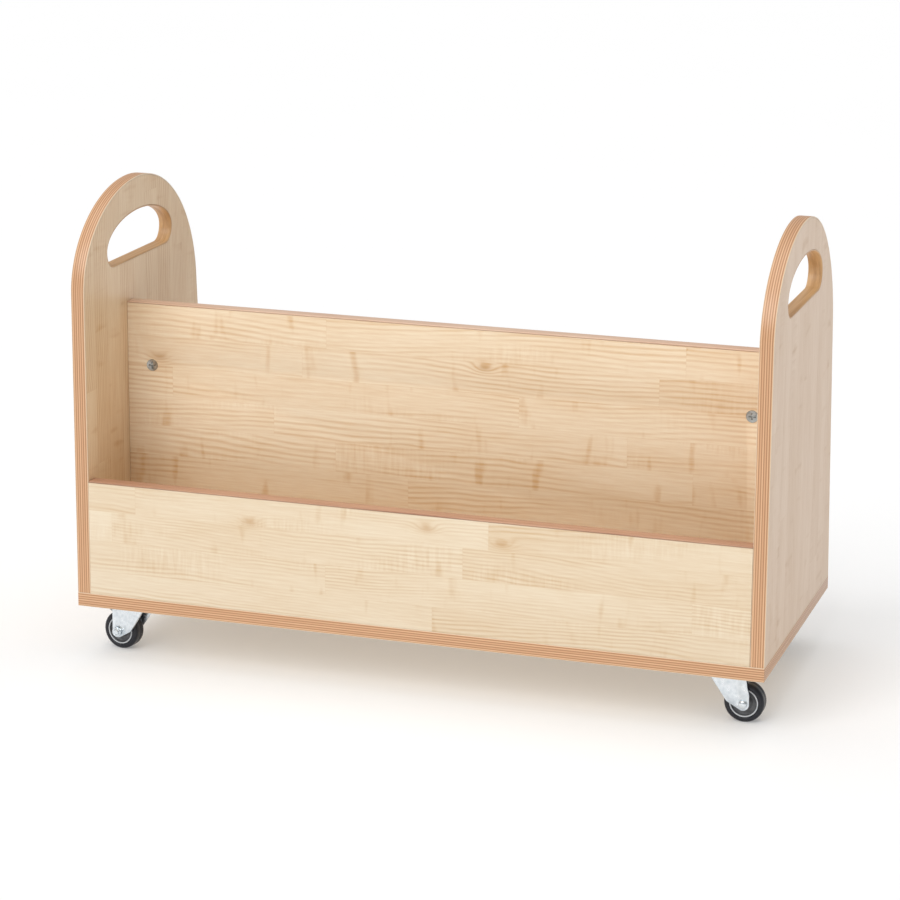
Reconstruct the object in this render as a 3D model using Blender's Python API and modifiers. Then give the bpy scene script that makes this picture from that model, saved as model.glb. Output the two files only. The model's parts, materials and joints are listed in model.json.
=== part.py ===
"""Mobile book storage unit: two book troughs between arched end panels, on four swivel castors.

Metres, +Z up. The origin is on the floor under the middle of the unit, and the front faces -Y.
Each castor is built about its own swivel axis, with its mounting face at zero height and its
wheel trailing towards +X, and is then turned and moved to its corner.
"""
import math
from typing import NamedTuple

import bmesh
import bpy
from mathutils import Matrix, Vector

# Boards
WIDTH = 0.900
DEPTH = 0.390
BOARD = 0.018
EDGE_BAND = 0.002
JOINT_GAP = 0.0003
END_HEIGHT = 0.516
ARCH_RISE = 0.125
REAR_ARCH_RISE = 0.180
ARCH_APEX_SETBACK = 0.175
ARCH_REAR_LEAN = 0.029
FRONT_HEIGHT = 0.150
REAR_HEIGHT = 0.150
DIVIDER_HEIGHT = 0.358
DIVIDER_SETBACK = 0.130
REAR_SETBACK = 0.013
ARCH_STEPS = 32

# Handle cut-outs in the end panels, set down from the top of the panel
HANDLE_SET_DOWN = 0.044
HANDLE_LENGTH = 0.204
HANDLE_HEIGHT = 0.060
HANDLE_CORNER = 0.020
HANDLE_STEPS = 16
CORNER_STEPS = 3

# Knock-down fittings
CAM_DIAMETER = 0.015
CAM_DEPTH = 0.0125
CAM_INSET = 0.034
CAM_RECESS = 0.003
CAM_SLOT = 0.0022
CAM_SLOT_REACH = 0.62
BOLT_COLLAR = 0.0062
BOLT_COLLAR_HEIGHT = 0.003
BOLT_STEM = 0.0042
BOLT_SHANK = 0.0050
BOLT_EMBED = 0.011
BOLT_BORE = 0.0068
DOWEL_DIAMETER = 0.008
DOWEL_LENGTH = 0.030
DOWEL_EMBED = 0.010
DIVIDER_LOW_CAM = 0.060
DIVIDER_HIGH_CAM = 0.275
DIVIDER_DOWEL_HEIGHT = 0.165
LOW_CAM_HEIGHT = 0.095
LOW_DOWEL_HEIGHT = 0.045
BASE_SCREW_HEAD = 0.010
BASE_SCREW_SHANK = 0.005
BASE_SCREW_LENGTH = 0.048
BASE_SCREW_SINK = 0.003
END_SCREW_SPACING = 0.130
PANEL_SCREW_SPACING = 0.300
FIT = 0.0003

# Castors
CASTOR_HEIGHT = 0.072
CASTOR_INSET_X = 0.056
CASTOR_INSET_Y = 0.060
WHEEL_DIAMETER = 0.050
WHEEL_WIDTH = 0.020
RIM_DIAMETER = 0.036
RIM_LIP = 0.0015
HUB_DIAMETER = 0.018
HUB_WIDTH = 0.0236
WEB_THICKNESS = 0.008
TYRE_SHOULDER = 0.004
TRAIL = 0.021
PLATE_SIZE = 0.060
PLATE_THICKNESS = 0.0025
PLATE_CORNER = 0.006
PLATE_HOLE_SPACING = 0.045
BALL_DIAMETER = 0.004
BALL_COUNT = 8
BALL_CIRCLE = 0.034
CAGE_WIDTH = 0.002
CAGE_THICKNESS = 0.001
SKIRT_WALL = 0.0015
CROWN_DIAMETER = 0.047
STEEL = 0.0025
KINGPIN_DIAMETER = 0.010
KINGPIN_HEAD = 0.017
KINGPIN_HEAD_HEIGHT = 0.003
FORK_CLEAR = 0.0025
AXLE_DIAMETER = 0.008
AXLE_HEAD = 0.0105
AXLE_HEAD_HEIGHT = 0.003
NUT_SIZE = 0.013
NUT_HEIGHT = 0.0045
AXLE_THREAD_SHOWN = 0.001
SLEEVE_WALL = 0.002
LEG_TIP = 0.0078
LEG_TIP_START = math.radians(-125.0)
LEG_SETBACK = 0.0015
LEG_BACK_RISE = 0.0125
KNEE_RISE = 0.0025
PLATE_SCREW_HEAD = 0.0095
PLATE_SCREW_HEAD_HEIGHT = 0.0024
PLATE_SCREW_SHANK = 0.0045
PLATE_SCREW_LENGTH = 0.014

# Foot brakes on two of the castors, placed from the swivel axis and the mounting face
BRAKE_PIVOT_X = 0.0250
BRAKE_PIVOT_Z = -0.0155
BRAKE_PIN_DIAMETER = 0.004
BRAKE_PIN_HEAD = 0.007
BRAKE_PIN_HEAD_HEIGHT = 0.001
BRAKE_REACH = 0.053
BRAKE_STEEL = 0.0015
BRAKE_TOE_LENGTH = 0.011
BRAKE_TOE_WIDTH = 0.032
BRAKE_TRAVEL = math.radians(12.0)
BRAKE_FLANGE_DROP = 0.0080
BRAKE_HEEL = 0.0040
BRAKE_SLOPE = 0.08
BRAKE_SHOE_REACH = 0.0096
BRAKE_SHOE_LENGTH = 0.0040
BRAKE_SHOE_WIDTH = 0.0140

SMALL_STEPS = 8
MEDIUM_STEPS = 12
CROWN_STEPS = 24
WHEEL_STEPS = 28

# Each corner's sides, where its castor points at rest as a turn from +X, and if it has a brake
CASTORS = {
    "front_left": (-1, -1, math.radians(171.0), True),
    "front_right": (1, -1, 0.0, False),
    "rear_left": (-1, 1, math.radians(15.0), False),
    "rear_right": (1, 1, math.radians(162.0), True),
}

# Places that follow from the sizes above
BASE_TOP = CASTOR_HEIGHT + BOARD
HALF_WIDTH = WIDTH / 2
HALF_DEPTH = DEPTH / 2
INNER_HALF = HALF_WIDTH - BOARD
FOOT = BASE_TOP + JOINT_GAP
FRONT_Y = -HALF_DEPTH + BOARD / 2
DIVIDER_Y = -HALF_DEPTH + DIVIDER_SETBACK + BOARD / 2
REAR_Y = HALF_DEPTH - REAR_SETBACK - BOARD / 2
ARCH_APEX_Y = -HALF_DEPTH + ARCH_APEX_SETBACK
WHEEL_RADIUS = WHEEL_DIAMETER / 2
AXLE_Z = WHEEL_RADIUS - CASTOR_HEIGHT
PLATE_TOP = -FIT
PLATE_BOTTOM = PLATE_TOP - PLATE_THICKNESS
BALL_Z = PLATE_BOTTOM - FIT - BALL_DIAMETER / 2
CROWN_TOP = BALL_Z - BALL_DIAMETER / 2 - FIT
CROWN_BOTTOM = CROWN_TOP - STEEL
LEG_INNER = WHEEL_WIDTH / 2 + FORK_CLEAR
LEG_OUTER = LEG_INNER + STEEL
SIDES = {"left": -1, "right": 1}


class CrossPanel(NamedTuple):
    """A panel that stands between the ends: its mid plane, height and the heights of its fittings."""

    y: float
    height: float
    cam_heights: dict
    dowel_height: float
    cam_side: int


CROSS_PANELS = {
    "front": CrossPanel(FRONT_Y, FRONT_HEIGHT, {"": LOW_CAM_HEIGHT}, LOW_DOWEL_HEIGHT, 1),
    "divider": CrossPanel(
        DIVIDER_Y, DIVIDER_HEIGHT, {"_lower": DIVIDER_LOW_CAM, "_upper": DIVIDER_HIGH_CAM},
        DIVIDER_DOWEL_HEIGHT, -1),
    "rear": CrossPanel(REAR_Y, REAR_HEIGHT, {"": LOW_CAM_HEIGHT}, LOW_DOWEL_HEIGHT, -1),
}


def srgb(hex_colour):
    """Return an sRGB hex colour as linear red, green, blue and alpha."""
    values = [int(hex_colour[i:i + 2], 16) / 255 for i in (0, 2, 4)]
    linear = [v / 12.92 if v <= 0.04045 else ((v + 0.055) / 1.055) ** 2.4 for v in values]
    return (*linear, 1.0)


def make_material(name, hex_colour, roughness, metallic=0.0):
    """Return a Principled material of one colour."""
    material = bpy.data.materials.new(name)
    material.use_nodes = True
    shader = material.node_tree.nodes["Principled BSDF"]
    shader.inputs["Base Color"].default_value = srgb(hex_colour)
    shader.inputs["Roughness"].default_value = roughness
    shader.inputs["Metallic"].default_value = metallic
    material.diffuse_color = srgb(hex_colour)
    return material


def as_object(mesh):
    """Return a plain object that holds mesh, linked to the scene."""
    piece = bpy.data.objects.new(mesh.name, mesh)
    bpy.context.scene.collection.objects.link(piece)
    return piece


def baked(piece):
    """Return the evaluated mesh of an object with its placement applied, and remove the object."""
    bpy.context.view_layer.update()
    depsgraph = bpy.context.evaluated_depsgraph_get()
    mesh = bpy.data.meshes.new_from_object(piece.evaluated_get(depsgraph))
    mesh.transform(piece.matrix_world)
    bpy.data.objects.remove(piece)
    builder = bmesh.new()
    builder.from_mesh(mesh)
    bmesh.ops.remove_doubles(builder, verts=builder.verts, dist=0.00001)
    builder.to_mesh(mesh)
    builder.free()
    return mesh


def box(low, high):
    """Return a box mesh between two corners."""
    low, high = Vector(low), Vector(high)
    size = high - low
    builder = bmesh.new()
    placed = Matrix.Translation((low + high) / 2) @ Matrix.Diagonal((*size, 1.0))
    bmesh.ops.create_cube(builder, size=1.0, matrix=placed)
    mesh = bpy.data.meshes.new("box")
    builder.to_mesh(mesh)
    builder.free()
    return mesh


def rod(start, end, diameter, steps=SMALL_STEPS):
    """Return a capped cylinder mesh between two points."""
    start, end = Vector(start), Vector(end)
    along = end - start
    turn = along.to_track_quat("Z", "Y").to_matrix().to_4x4()
    builder = bmesh.new()
    bmesh.ops.create_cone(
        builder, cap_ends=True, segments=steps, radius1=diameter / 2, radius2=diameter / 2,
        depth=along.length, matrix=Matrix.Translation((start + end) / 2) @ turn)
    mesh = bpy.data.meshes.new("rod")
    builder.to_mesh(mesh)
    builder.free()
    return mesh


def turned(profile, steps, closed=False):
    """Return a solid turned about Z from (radius, height) points that run down the outer side."""
    mesh = bpy.data.meshes.new("profile")
    points = [(radius, 0.0, height) for radius, height in profile]
    edges = [(i, i + 1) for i in range(len(points) - 1)]
    if closed:
        edges.append((len(points) - 1, 0))
    mesh.from_pydata(points, edges, [])
    piece = as_object(mesh)
    screw = piece.modifiers.new("turned", "SCREW")
    screw.steps = steps
    screw.render_steps = steps
    screw.use_merge_vertices = True
    screw.merge_threshold = 0.00001
    return baked(piece)


def flat_piece(outlines, thickness):
    """Return a plate in the XY plane, centred on it, from one outline and the holes inside it."""
    curve = bpy.data.curves.new("outline", "CURVE")
    curve.dimensions = "2D"
    curve.fill_mode = "BOTH"
    curve.extrude = thickness / 2
    for outline in outlines:
        spline = curve.splines.new("POLY")
        spline.points.add(len(outline) - 1)
        for point, (x, y) in zip(spline.points, outline):
            point.co = (x, y, 0.0, 1.0)
        spline.use_cyclic_u = True
    return baked(as_object(curve))


def moved(mesh, matrix):
    """Return mesh after a placement is applied to it."""
    mesh.transform(matrix)
    return mesh


def merged(meshes):
    """Return one mesh that holds several separate solids."""
    builder = bmesh.new()
    for mesh in meshes:
        builder.from_mesh(mesh)
    together = bpy.data.meshes.new("group")
    builder.to_mesh(together)
    builder.free()
    return together


def combined(mesh, other, operation):
    """Return mesh after an exact Boolean with another mesh."""
    piece, tool = as_object(mesh), as_object(other)
    boolean = piece.modifiers.new(operation.lower(), "BOOLEAN")
    boolean.object = tool
    boolean.operation = operation
    boolean.solver = "EXACT"
    result = baked(piece)
    bpy.data.objects.remove(tool)
    return result


def carved(mesh, cutters):
    """Return mesh with a list of cutter meshes taken out of it."""
    return combined(mesh, merged(cutters), "DIFFERENCE")


def joined(mesh, others):
    """Return one solid made of mesh and the meshes that run into it."""
    for other in others:
        mesh = combined(mesh, other, "UNION")
    return mesh


def copies(mesh, matrices):
    """Return one mesh that holds a copy of mesh at each placement."""
    placed = []
    for matrix in matrices:
        copy = mesh.copy()
        copy.transform(matrix)
        placed.append(copy)
    return merged(placed)


def add_node(name, mesh, material, collection, parent=None):
    """Add a named sub-part to the parts collection and return its object."""
    mesh = mesh.copy()
    mesh.name = name
    mesh.materials.clear()
    mesh.materials.append(material)
    mesh.shade_smooth()
    mesh.set_sharp_from_angle(angle=math.radians(35.0))
    piece = bpy.data.objects.new(name, mesh)
    piece.parent = parent
    collection.objects.link(piece)
    return piece


def add_empty(name, collection, location, turn=0.0, parent=None):
    """Add an empty that carries the pieces of one moving body."""
    empty = bpy.data.objects.new(name, None)
    empty.location = location
    empty.rotation_euler = (0.0, 0.0, turn)
    empty.empty_display_size = 0.02
    empty.parent = parent
    collection.objects.link(empty)
    return empty


# Placements that stand a flat piece up: in the YZ plane, and in the XZ plane
IN_YZ = Matrix(((0, 0, 1, 0), (1, 0, 0, 0), (0, 1, 0, 0), (0, 0, 0, 1)))
IN_XZ = Matrix(((1, 0, 0, 0), (0, 0, -1, 0), (0, 1, 0, 0), (0, 0, 0, 1)))


def ellipse_arc(centre, radii, start, end, steps):
    """Return points along an ellipse, from one angle to another, both ends included."""
    angles = [start + (end - start) * i / steps for i in range(steps + 1)]
    return [(centre[0] + radii[0] * math.cos(a), centre[1] + radii[1] * math.sin(a)) for a in angles]


def touching_angle(centre, radii, point):
    """Return the angle on an ellipse where the line from a point outside and below it touches."""
    across, up = [(point[i] - centre[i]) / radii[i] for i in range(2)]
    return math.atan2(up, across) + math.acos(1.0 / math.hypot(across, up))


def arch_line(inset):
    """Return the end panel's outline from its front foot over the arch to its rear foot.

    The arch is two quarters of unlike ellipses that meet at the apex. The rear edge is straight: it leans
    in from the foot until it touches the rear quarter.
    """
    top = FOOT + END_HEIGHT - JOINT_GAP
    steps = ARCH_STEPS // 2
    front_foot, rear_foot = (-HALF_DEPTH + inset, FOOT), (HALF_DEPTH - inset, FOOT)
    front_centre, rear_centre = (ARCH_APEX_Y, top - ARCH_RISE), (ARCH_APEX_Y, top - REAR_ARCH_RISE)
    front_radii = (ARCH_APEX_SETBACK - inset, ARCH_RISE - inset)
    rear_radii = (DEPTH - ARCH_REAR_LEAN - ARCH_APEX_SETBACK - inset, REAR_ARCH_RISE - inset)
    touch = touching_angle(rear_centre, rear_radii, rear_foot)
    front = ellipse_arc(front_centre, front_radii, math.pi, math.pi / 2, steps)
    rear = ellipse_arc(rear_centre, rear_radii, math.pi / 2, touch, steps)
    return [front_foot, *front, *rear[1:], rear_foot]


def handle_line(inset):
    """Return the outline of a handle cut-out under the apex, drawn in by inset: flat below, arched above."""
    half = HANDLE_LENGTH / 2 - inset
    radius = HANDLE_CORNER - inset
    spring = BASE_TOP + END_HEIGHT - HANDLE_SET_DOWN - HANDLE_HEIGHT + HANDLE_CORNER
    rise = HANDLE_HEIGHT - HANDLE_CORNER - inset
    front, rear = ARCH_APEX_Y - half + radius, ARCH_APEX_Y + half - radius
    crown = ellipse_arc((ARCH_APEX_Y, spring), (half, rise), 0.0, math.pi, HANDLE_STEPS)
    left = ellipse_arc((front, spring), (radius, radius), math.pi, math.pi * 1.5, CORNER_STEPS)
    right = ellipse_arc((rear, spring), (radius, radius), math.pi * 1.5, math.pi * 2, CORNER_STEPS)
    return crown[:-1] + left + right[:-1]


def cam_places():
    """Return (name, side, y of the panel's middle, height, cam side) for every cam lock."""
    return [
        (f"{name}_cam_{word}{level}", side, panel.y, BASE_TOP + height, panel.cam_side)
        for name, panel in CROSS_PANELS.items()
        for level, height in panel.cam_heights.items()
        for word, side in SIDES.items()]


def dowel_places():
    """Return (name, side, y, height) for every wooden dowel."""
    return [
        (f"{name}_dowel_{word}", side, panel.y, BASE_TOP + panel.dowel_height)
        for name, panel in CROSS_PANELS.items() for word, side in SIDES.items()]


def base_screw_places():
    """Return (x, y) for every screw that comes up through the base."""
    places = []
    for side in (-1, 1):
        for step in (-1, 0, 1):
            places.append((side * (HALF_WIDTH - BOARD / 2), step * END_SCREW_SPACING))
        for panel in CROSS_PANELS.values():
            places.append((side * PANEL_SCREW_SPACING / 2, panel.y))
    return places


def castor_centre(side_x, side_y):
    """Return the point where a castor's swivel axis meets the underside of the base."""
    return Vector((
        side_x * (HALF_WIDTH - CASTOR_INSET_X), side_y * (HALF_DEPTH - CASTOR_INSET_Y), CASTOR_HEIGHT))


def plate_hole_places():
    """Return the (x, y) of a mounting plate's four holes about the swivel axis."""
    half = PLATE_HOLE_SPACING / 2
    return [(x, y) for x in (-half, half) for y in (-half, half)]


def base_screw_cutters():
    """Return cutters for the countersunk bores of the screws that come up through the base."""
    head, shank = BASE_SCREW_HEAD / 2 + FIT, BASE_SCREW_SHANK / 2 + FIT
    top = BASE_SCREW_SINK + BASE_SCREW_LENGTH + FIT
    profile = [
        (0.0, top), (shank, top), (shank, BASE_SCREW_SINK + head - shank), (head, BASE_SCREW_SINK),
        (head, -FIT), (0.0, -FIT)]
    bore = turned(profile, SMALL_STEPS)
    return [copies(bore, [Matrix.Translation((x, y, CASTOR_HEIGHT)) for x, y in base_screw_places()])]


def scored(mesh, planes):
    """Return mesh with edges drawn round it where (point, normal) planes cross it."""
    builder = bmesh.new()
    builder.from_mesh(mesh)
    for point, normal in planes:
        everything = builder.verts[:] + builder.edges[:] + builder.faces[:]
        bmesh.ops.bisect_plane(builder, geom=everything, plane_co=point, plane_no=normal)
    builder.to_mesh(mesh)
    builder.free()
    return mesh


def trough_planes():
    """Return the planes just inside the boards that bound the troughs, as (point, normal)."""
    inner = INNER_HALF - JOINT_GAP
    planes = [((side * inner, 0.0, 0.0), (1.0, 0.0, 0.0)) for side in SIDES.values()]
    for panel in CROSS_PANELS.values():
        for face in (-1, 1):
            planes.append(((0.0, panel.y + face * (BOARD / 2 + JOINT_GAP), 0.0), (0.0, 1.0, 0.0)))
    return planes


def make_base():
    """Return the base board with its troughs' floors as faces of their own, bored for its screws."""
    low = (-HALF_WIDTH + EDGE_BAND, -HALF_DEPTH + EDGE_BAND, CASTOR_HEIGHT)
    high = (HALF_WIDTH - EDGE_BAND, HALF_DEPTH - EDGE_BAND, BASE_TOP)
    pilots = []
    for side_x, side_y, *_ in CASTORS.values():
        centre = castor_centre(side_x, side_y)
        for x, y in plate_hole_places():
            start = centre + Vector((x, y, -FIT))
            end = centre + Vector((x, y, PLATE_SCREW_LENGTH + FIT))
            pilots.append(rod(start, end, PLATE_SCREW_SHANK + 2 * FIT))
    return carved(scored(box(low, high), trough_planes()), base_screw_cutters() + pilots)


def rectangle(half_x, half_y):
    """Return the outline of a rectangle about the origin."""
    return [(-half_x, -half_y), (half_x, -half_y), (half_x, half_y), (-half_x, half_y)]


def make_base_edging():
    """Return the edging that closes the base board's four edges."""
    inset = EDGE_BAND - FIT
    ring = flat_piece(
        [rectangle(HALF_WIDTH, HALF_DEPTH), rectangle(HALF_WIDTH - inset, HALF_DEPTH - inset)], BOARD)
    return moved(ring, Matrix.Translation((0.0, 0.0, CASTOR_HEIGHT + BOARD / 2)))


def side_fitting_bores(side):
    """Return the cutters for the bolts, dowels and screws that enter one end panel."""
    face = side * INNER_HALF
    cutters = []
    for _, cam_side, y, z, _ in cam_places():
        if cam_side == side:
            end = face + side * (BOLT_EMBED + FIT)
            cutters.append(rod((face - side * FIT, y, z), (end, y, z), BOLT_SHANK + 2 * FIT))
    for _, dowel_side, y, z in dowel_places():
        if dowel_side == side:
            end = face + side * (DOWEL_EMBED + FIT)
            cutters.append(rod((face - side * FIT, y, z), (end, y, z), DOWEL_DIAMETER + 2 * FIT))
    return cutters + base_screw_cutters()


def make_end_panel(side):
    """Return an arched end panel with its handle cut-out, side -1 for left and 1 for right."""
    panel = flat_piece([arch_line(EDGE_BAND), handle_line(-EDGE_BAND)], BOARD)
    panel = moved(panel, Matrix.Translation((side * (HALF_WIDTH - BOARD / 2), 0.0, 0.0)) @ IN_YZ)
    return carved(panel, side_fitting_bores(side))


def make_end_edging(side):
    """Return the strip of edging that runs up the front of an end panel, over it and down its back."""
    strip = flat_piece([arch_line(0.0) + arch_line(EDGE_BAND - FIT)[::-1]], BOARD)
    return moved(strip, Matrix.Translation((side * (HALF_WIDTH - BOARD / 2), 0.0, 0.0)) @ IN_YZ)


def make_handle_lining(side):
    """Return the strip that lines a handle cut-out."""
    lining = flat_piece([handle_line(FIT - EDGE_BAND), handle_line(0.0)], BOARD)
    return moved(lining, Matrix.Translation((side * (HALF_WIDTH - BOARD / 2), 0.0, 0.0)) @ IN_YZ)


def make_cross_panel(spec):
    """Return a panel that stands between the ends, bored for its cams, bolts, dowels and screws."""
    half = INNER_HALF - JOINT_GAP
    top = BASE_TOP + spec.height - EDGE_BAND
    panel = box((-half, spec.y - BOARD / 2, FOOT), (half, spec.y + BOARD / 2, top))
    face = spec.y + spec.cam_side * BOARD / 2
    out = spec.cam_side * FIT
    floor = spec.cam_side * (CAM_DEPTH + FIT)
    pockets = []
    bores = base_screw_cutters()
    for side in SIDES.values():
        cam_x = side * (INNER_HALF - CAM_INSET)
        end = side * (half + FIT)
        for cam_height in spec.cam_heights.values():
            z = BASE_TOP + cam_height
            pockets.append(rod(
                (cam_x, face + out, z), (cam_x, face - floor, z), CAM_DIAMETER + 2 * FIT, MEDIUM_STEPS))
            bores.append(rod((cam_x, spec.y, z), (end, spec.y, z), BOLT_BORE))
        z = BASE_TOP + spec.dowel_height
        inner = side * (INNER_HALF - (DOWEL_LENGTH - DOWEL_EMBED) - FIT)
        bores.append(rod((inner, spec.y, z), (end, spec.y, z), DOWEL_DIAMETER + 2 * FIT))
    return carved(carved(panel, pockets), bores)


def make_top_edging(spec):
    """Return the strip of edging along the top of a cross panel."""
    half = INNER_HALF - JOINT_GAP
    top = BASE_TOP + spec.height
    return box((-half, spec.y - BOARD / 2, top - EDGE_BAND + FIT), (half, spec.y + BOARD / 2, top))


def make_cam():
    """Return a cam lock along Z, its slotted face up at zero, with its bolt running out along +X."""
    radius = CAM_DIAMETER / 2
    cam = turned([(0.0, 0.0), (radius, 0.0), (radius, -CAM_DEPTH), (0.0, -CAM_DEPTH)], MEDIUM_STEPS)
    arm, slot = radius * CAM_SLOT_REACH, CAM_SLOT / 2
    cross = joined(
        box((-arm, -slot, -CAM_RECESS), (arm, slot, FIT)),
        [box((-slot, -arm, -CAM_RECESS), (slot, arm, FIT))])
    cam = carved(cam, [cross])
    bolt = moved(make_cam_bolt(), Matrix.Rotation(-math.pi / 2, 4, "Y"))
    return joined(cam, [moved(bolt, Matrix.Translation((CAM_INSET - JOINT_GAP, 0.0, -BOARD / 2)))])


def cam_matrix(side, y, z, face):
    """Return the placement of a cam lock in the face of its panel."""
    up = Vector((0.0, face, 0.0))
    port = Vector((side, 0.0, 0.0))
    turn = Matrix((port, up.cross(port), up)).transposed().to_4x4()
    place = Vector((side * (INNER_HALF - CAM_INSET), y + face * BOARD / 2, z))
    return Matrix.Translation(place) @ turn


def make_cam_bolt():
    """Return a cam bolt along Z: its shank goes down into the end panel, its stem up to the cam."""
    collar, stem, shank = BOLT_COLLAR / 2, BOLT_STEM / 2, BOLT_SHANK / 2
    profile = [
        (0.0, CAM_INSET - JOINT_GAP), (stem, CAM_INSET - JOINT_GAP),
        (stem, BOLT_COLLAR_HEIGHT + collar - stem), (collar, BOLT_COLLAR_HEIGHT), (collar, 0.0),
        (shank, 0.0), (shank, shank - BOLT_EMBED), (0.0, -BOLT_EMBED)]
    return turned(profile, SMALL_STEPS)


def make_dowel():
    """Return a wooden dowel along Z with chamfered ends, from zero up."""
    radius = DOWEL_DIAMETER / 2
    chamfer = radius / 4
    profile = [
        (0.0, DOWEL_LENGTH), (radius - chamfer, DOWEL_LENGTH), (radius, DOWEL_LENGTH - chamfer),
        (radius, chamfer), (radius - chamfer, 0.0), (0.0, 0.0)]
    return turned(profile, SMALL_STEPS)


def dowel_matrix(side, y, z):
    """Return the placement of a dowel across the joint between a cross panel and an end panel."""
    turn = Matrix.Rotation(-side * math.pi / 2, 4, "Y")
    return Matrix.Translation((side * (INNER_HALF + DOWEL_EMBED), y, z)) @ turn


def rounded_square(size, corner):
    """Return the outline of a square with rounded corners."""
    inner = size / 2 - corner
    outline = []
    for turn, (x, y) in enumerate(((inner, inner), (-inner, inner), (-inner, -inner), (inner, -inner))):
        start = turn * math.pi / 2
        outline += ellipse_arc((x, y), (corner, corner), start, start + math.pi / 2, 3)
    return outline


def circle(x, y, diameter, steps):
    """Return the outline of a circle."""
    return ellipse_arc((x, y), (diameter / 2, diameter / 2), 0.0, math.tau * (steps - 1) / steps, steps - 1)


def make_plate():
    """Return a castor's mounting plate, with its four screws and the skirt that keeps its balls in."""
    bore = circle(0.0, 0.0, KINGPIN_DIAMETER + 2 * FIT, MEDIUM_STEPS)
    plate = flat_piece([rounded_square(PLATE_SIZE, PLATE_CORNER), bore], PLATE_THICKNESS)
    plate = moved(plate, Matrix.Translation((0.0, 0.0, PLATE_TOP - PLATE_THICKNESS / 2)))
    inner = BALL_CIRCLE / 2 + BALL_DIAMETER / 2 + 2 * FIT
    outer = inner + SKIRT_WALL
    low = CROWN_TOP + 2 * FIT
    high = PLATE_BOTTOM + PLATE_THICKNESS / 2
    skirt = turned([(inner, high), (outer, high), (outer, low), (inner, low)], CROWN_STEPS, closed=True)
    screw = make_plate_screw()
    screws = [moved(screw.copy(), Matrix.Translation((x, y, 0.0))) for x, y in plate_hole_places()]
    return joined(plate, [skirt, *screws])


def make_plate_screw():
    """Return one screw of a mounting plate, with its head under the plate."""
    head, shank = PLATE_SCREW_HEAD / 2, PLATE_SCREW_SHANK / 2
    seat = PLATE_BOTTOM + PLATE_THICKNESS / 2
    foot = PLATE_BOTTOM - PLATE_SCREW_HEAD_HEIGHT
    profile = [
        (0.0, PLATE_SCREW_LENGTH), (shank, PLATE_SCREW_LENGTH - shank), (shank, seat), (head, seat),
        (head, foot + PLATE_SCREW_HEAD_HEIGHT / 2), (head * 0.6, foot), (0.0, foot)]
    return turned(profile, SMALL_STEPS)


def make_ball_cage():
    """Return the ring of balls that carries the fork under its mounting plate, in their cage."""
    builder = bmesh.new()
    for i in range(BALL_COUNT):
        angle = math.tau * i / BALL_COUNT
        place = (BALL_CIRCLE / 2 * math.cos(angle), BALL_CIRCLE / 2 * math.sin(angle), BALL_Z)
        bmesh.ops.create_uvsphere(
            builder, u_segments=6, v_segments=4, radius=BALL_DIAMETER / 2, matrix=Matrix.Translation(place))
    balls = bpy.data.meshes.new("balls")
    builder.to_mesh(balls)
    builder.free()
    inner = BALL_CIRCLE / 2 - CAGE_WIDTH / 2
    outer = BALL_CIRCLE / 2 + CAGE_WIDTH / 2
    high, low = BALL_Z + CAGE_THICKNESS / 2, BALL_Z - CAGE_THICKNESS / 2
    cage = turned([(inner, high), (outer, high), (outer, low), (inner, low)], 2 * BALL_COUNT, closed=True)
    return joined(cage, [balls])


def make_kingpin():
    """Return the rivet that holds the fork to its mounting plate."""
    radius, head = KINGPIN_DIAMETER / 2, KINGPIN_HEAD / 2
    seat = CROWN_BOTTOM - FIT
    foot = seat - KINGPIN_HEAD_HEIGHT
    profile = [
        (0.0, PLATE_TOP), (radius, PLATE_TOP), (radius, seat), (head, seat),
        (head, seat - KINGPIN_HEAD_HEIGHT / 2), (head * 0.75, foot), (0.0, foot)]
    return turned(profile, MEDIUM_STEPS)


def leg_line(braked):
    """Return the outline of a fork leg in the XZ plane, from its top front corner round its tip."""
    half = CROWN_DIAMETER / 2 - LEG_SETBACK
    tip = ellipse_arc((TRAIL, AXLE_Z), (LEG_TIP, LEG_TIP), LEG_TIP_START, 0.0, 6)
    shoulder = (STEEL - half, CROWN_BOTTOM - STEEL)
    knee = (0.0, AXLE_Z + KNEE_RISE)
    back = TRAIL + LEG_TIP
    if braked:
        rear = [(back, CROWN_TOP)]
    else:
        rear = [(back, AXLE_Z + LEG_BACK_RISE), (half, CROWN_TOP)]
    return [(-half, CROWN_TOP), shoulder, knee, *tip, *rear]


def make_fork(braked):
    """Return a pressed fork: a round crown under the balls and two legs down to the axle."""
    bore = KINGPIN_DIAMETER / 2 + FIT
    radius = CROWN_DIAMETER / 2
    crown = turned(
        [(bore, CROWN_TOP), (radius, CROWN_TOP), (radius, CROWN_BOTTOM), (bore, CROWN_BOTTOM)],
        CROWN_STEPS, closed=True)
    legs = []
    for side in (-1, 1):
        leg = flat_piece([leg_line(braked)], STEEL)
        place = Matrix.Translation((0.0, side * (LEG_INNER + STEEL / 2), 0.0)) @ IN_XZ
        legs.append(moved(leg, place))
    fork = joined(crown, legs)
    reach = LEG_OUTER + FIT
    bores = [rod((TRAIL, -reach, AXLE_Z), (TRAIL, reach, AXLE_Z), AXLE_DIAMETER + 2 * FIT, MEDIUM_STEPS)]
    if braked:
        x, z = BRAKE_PIVOT_X, BRAKE_PIVOT_Z
        bores.append(rod((x, -reach, z), (x, reach, z), BRAKE_PIN_DIAMETER + 2 * FIT))
    return carved(fork, bores)


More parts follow.
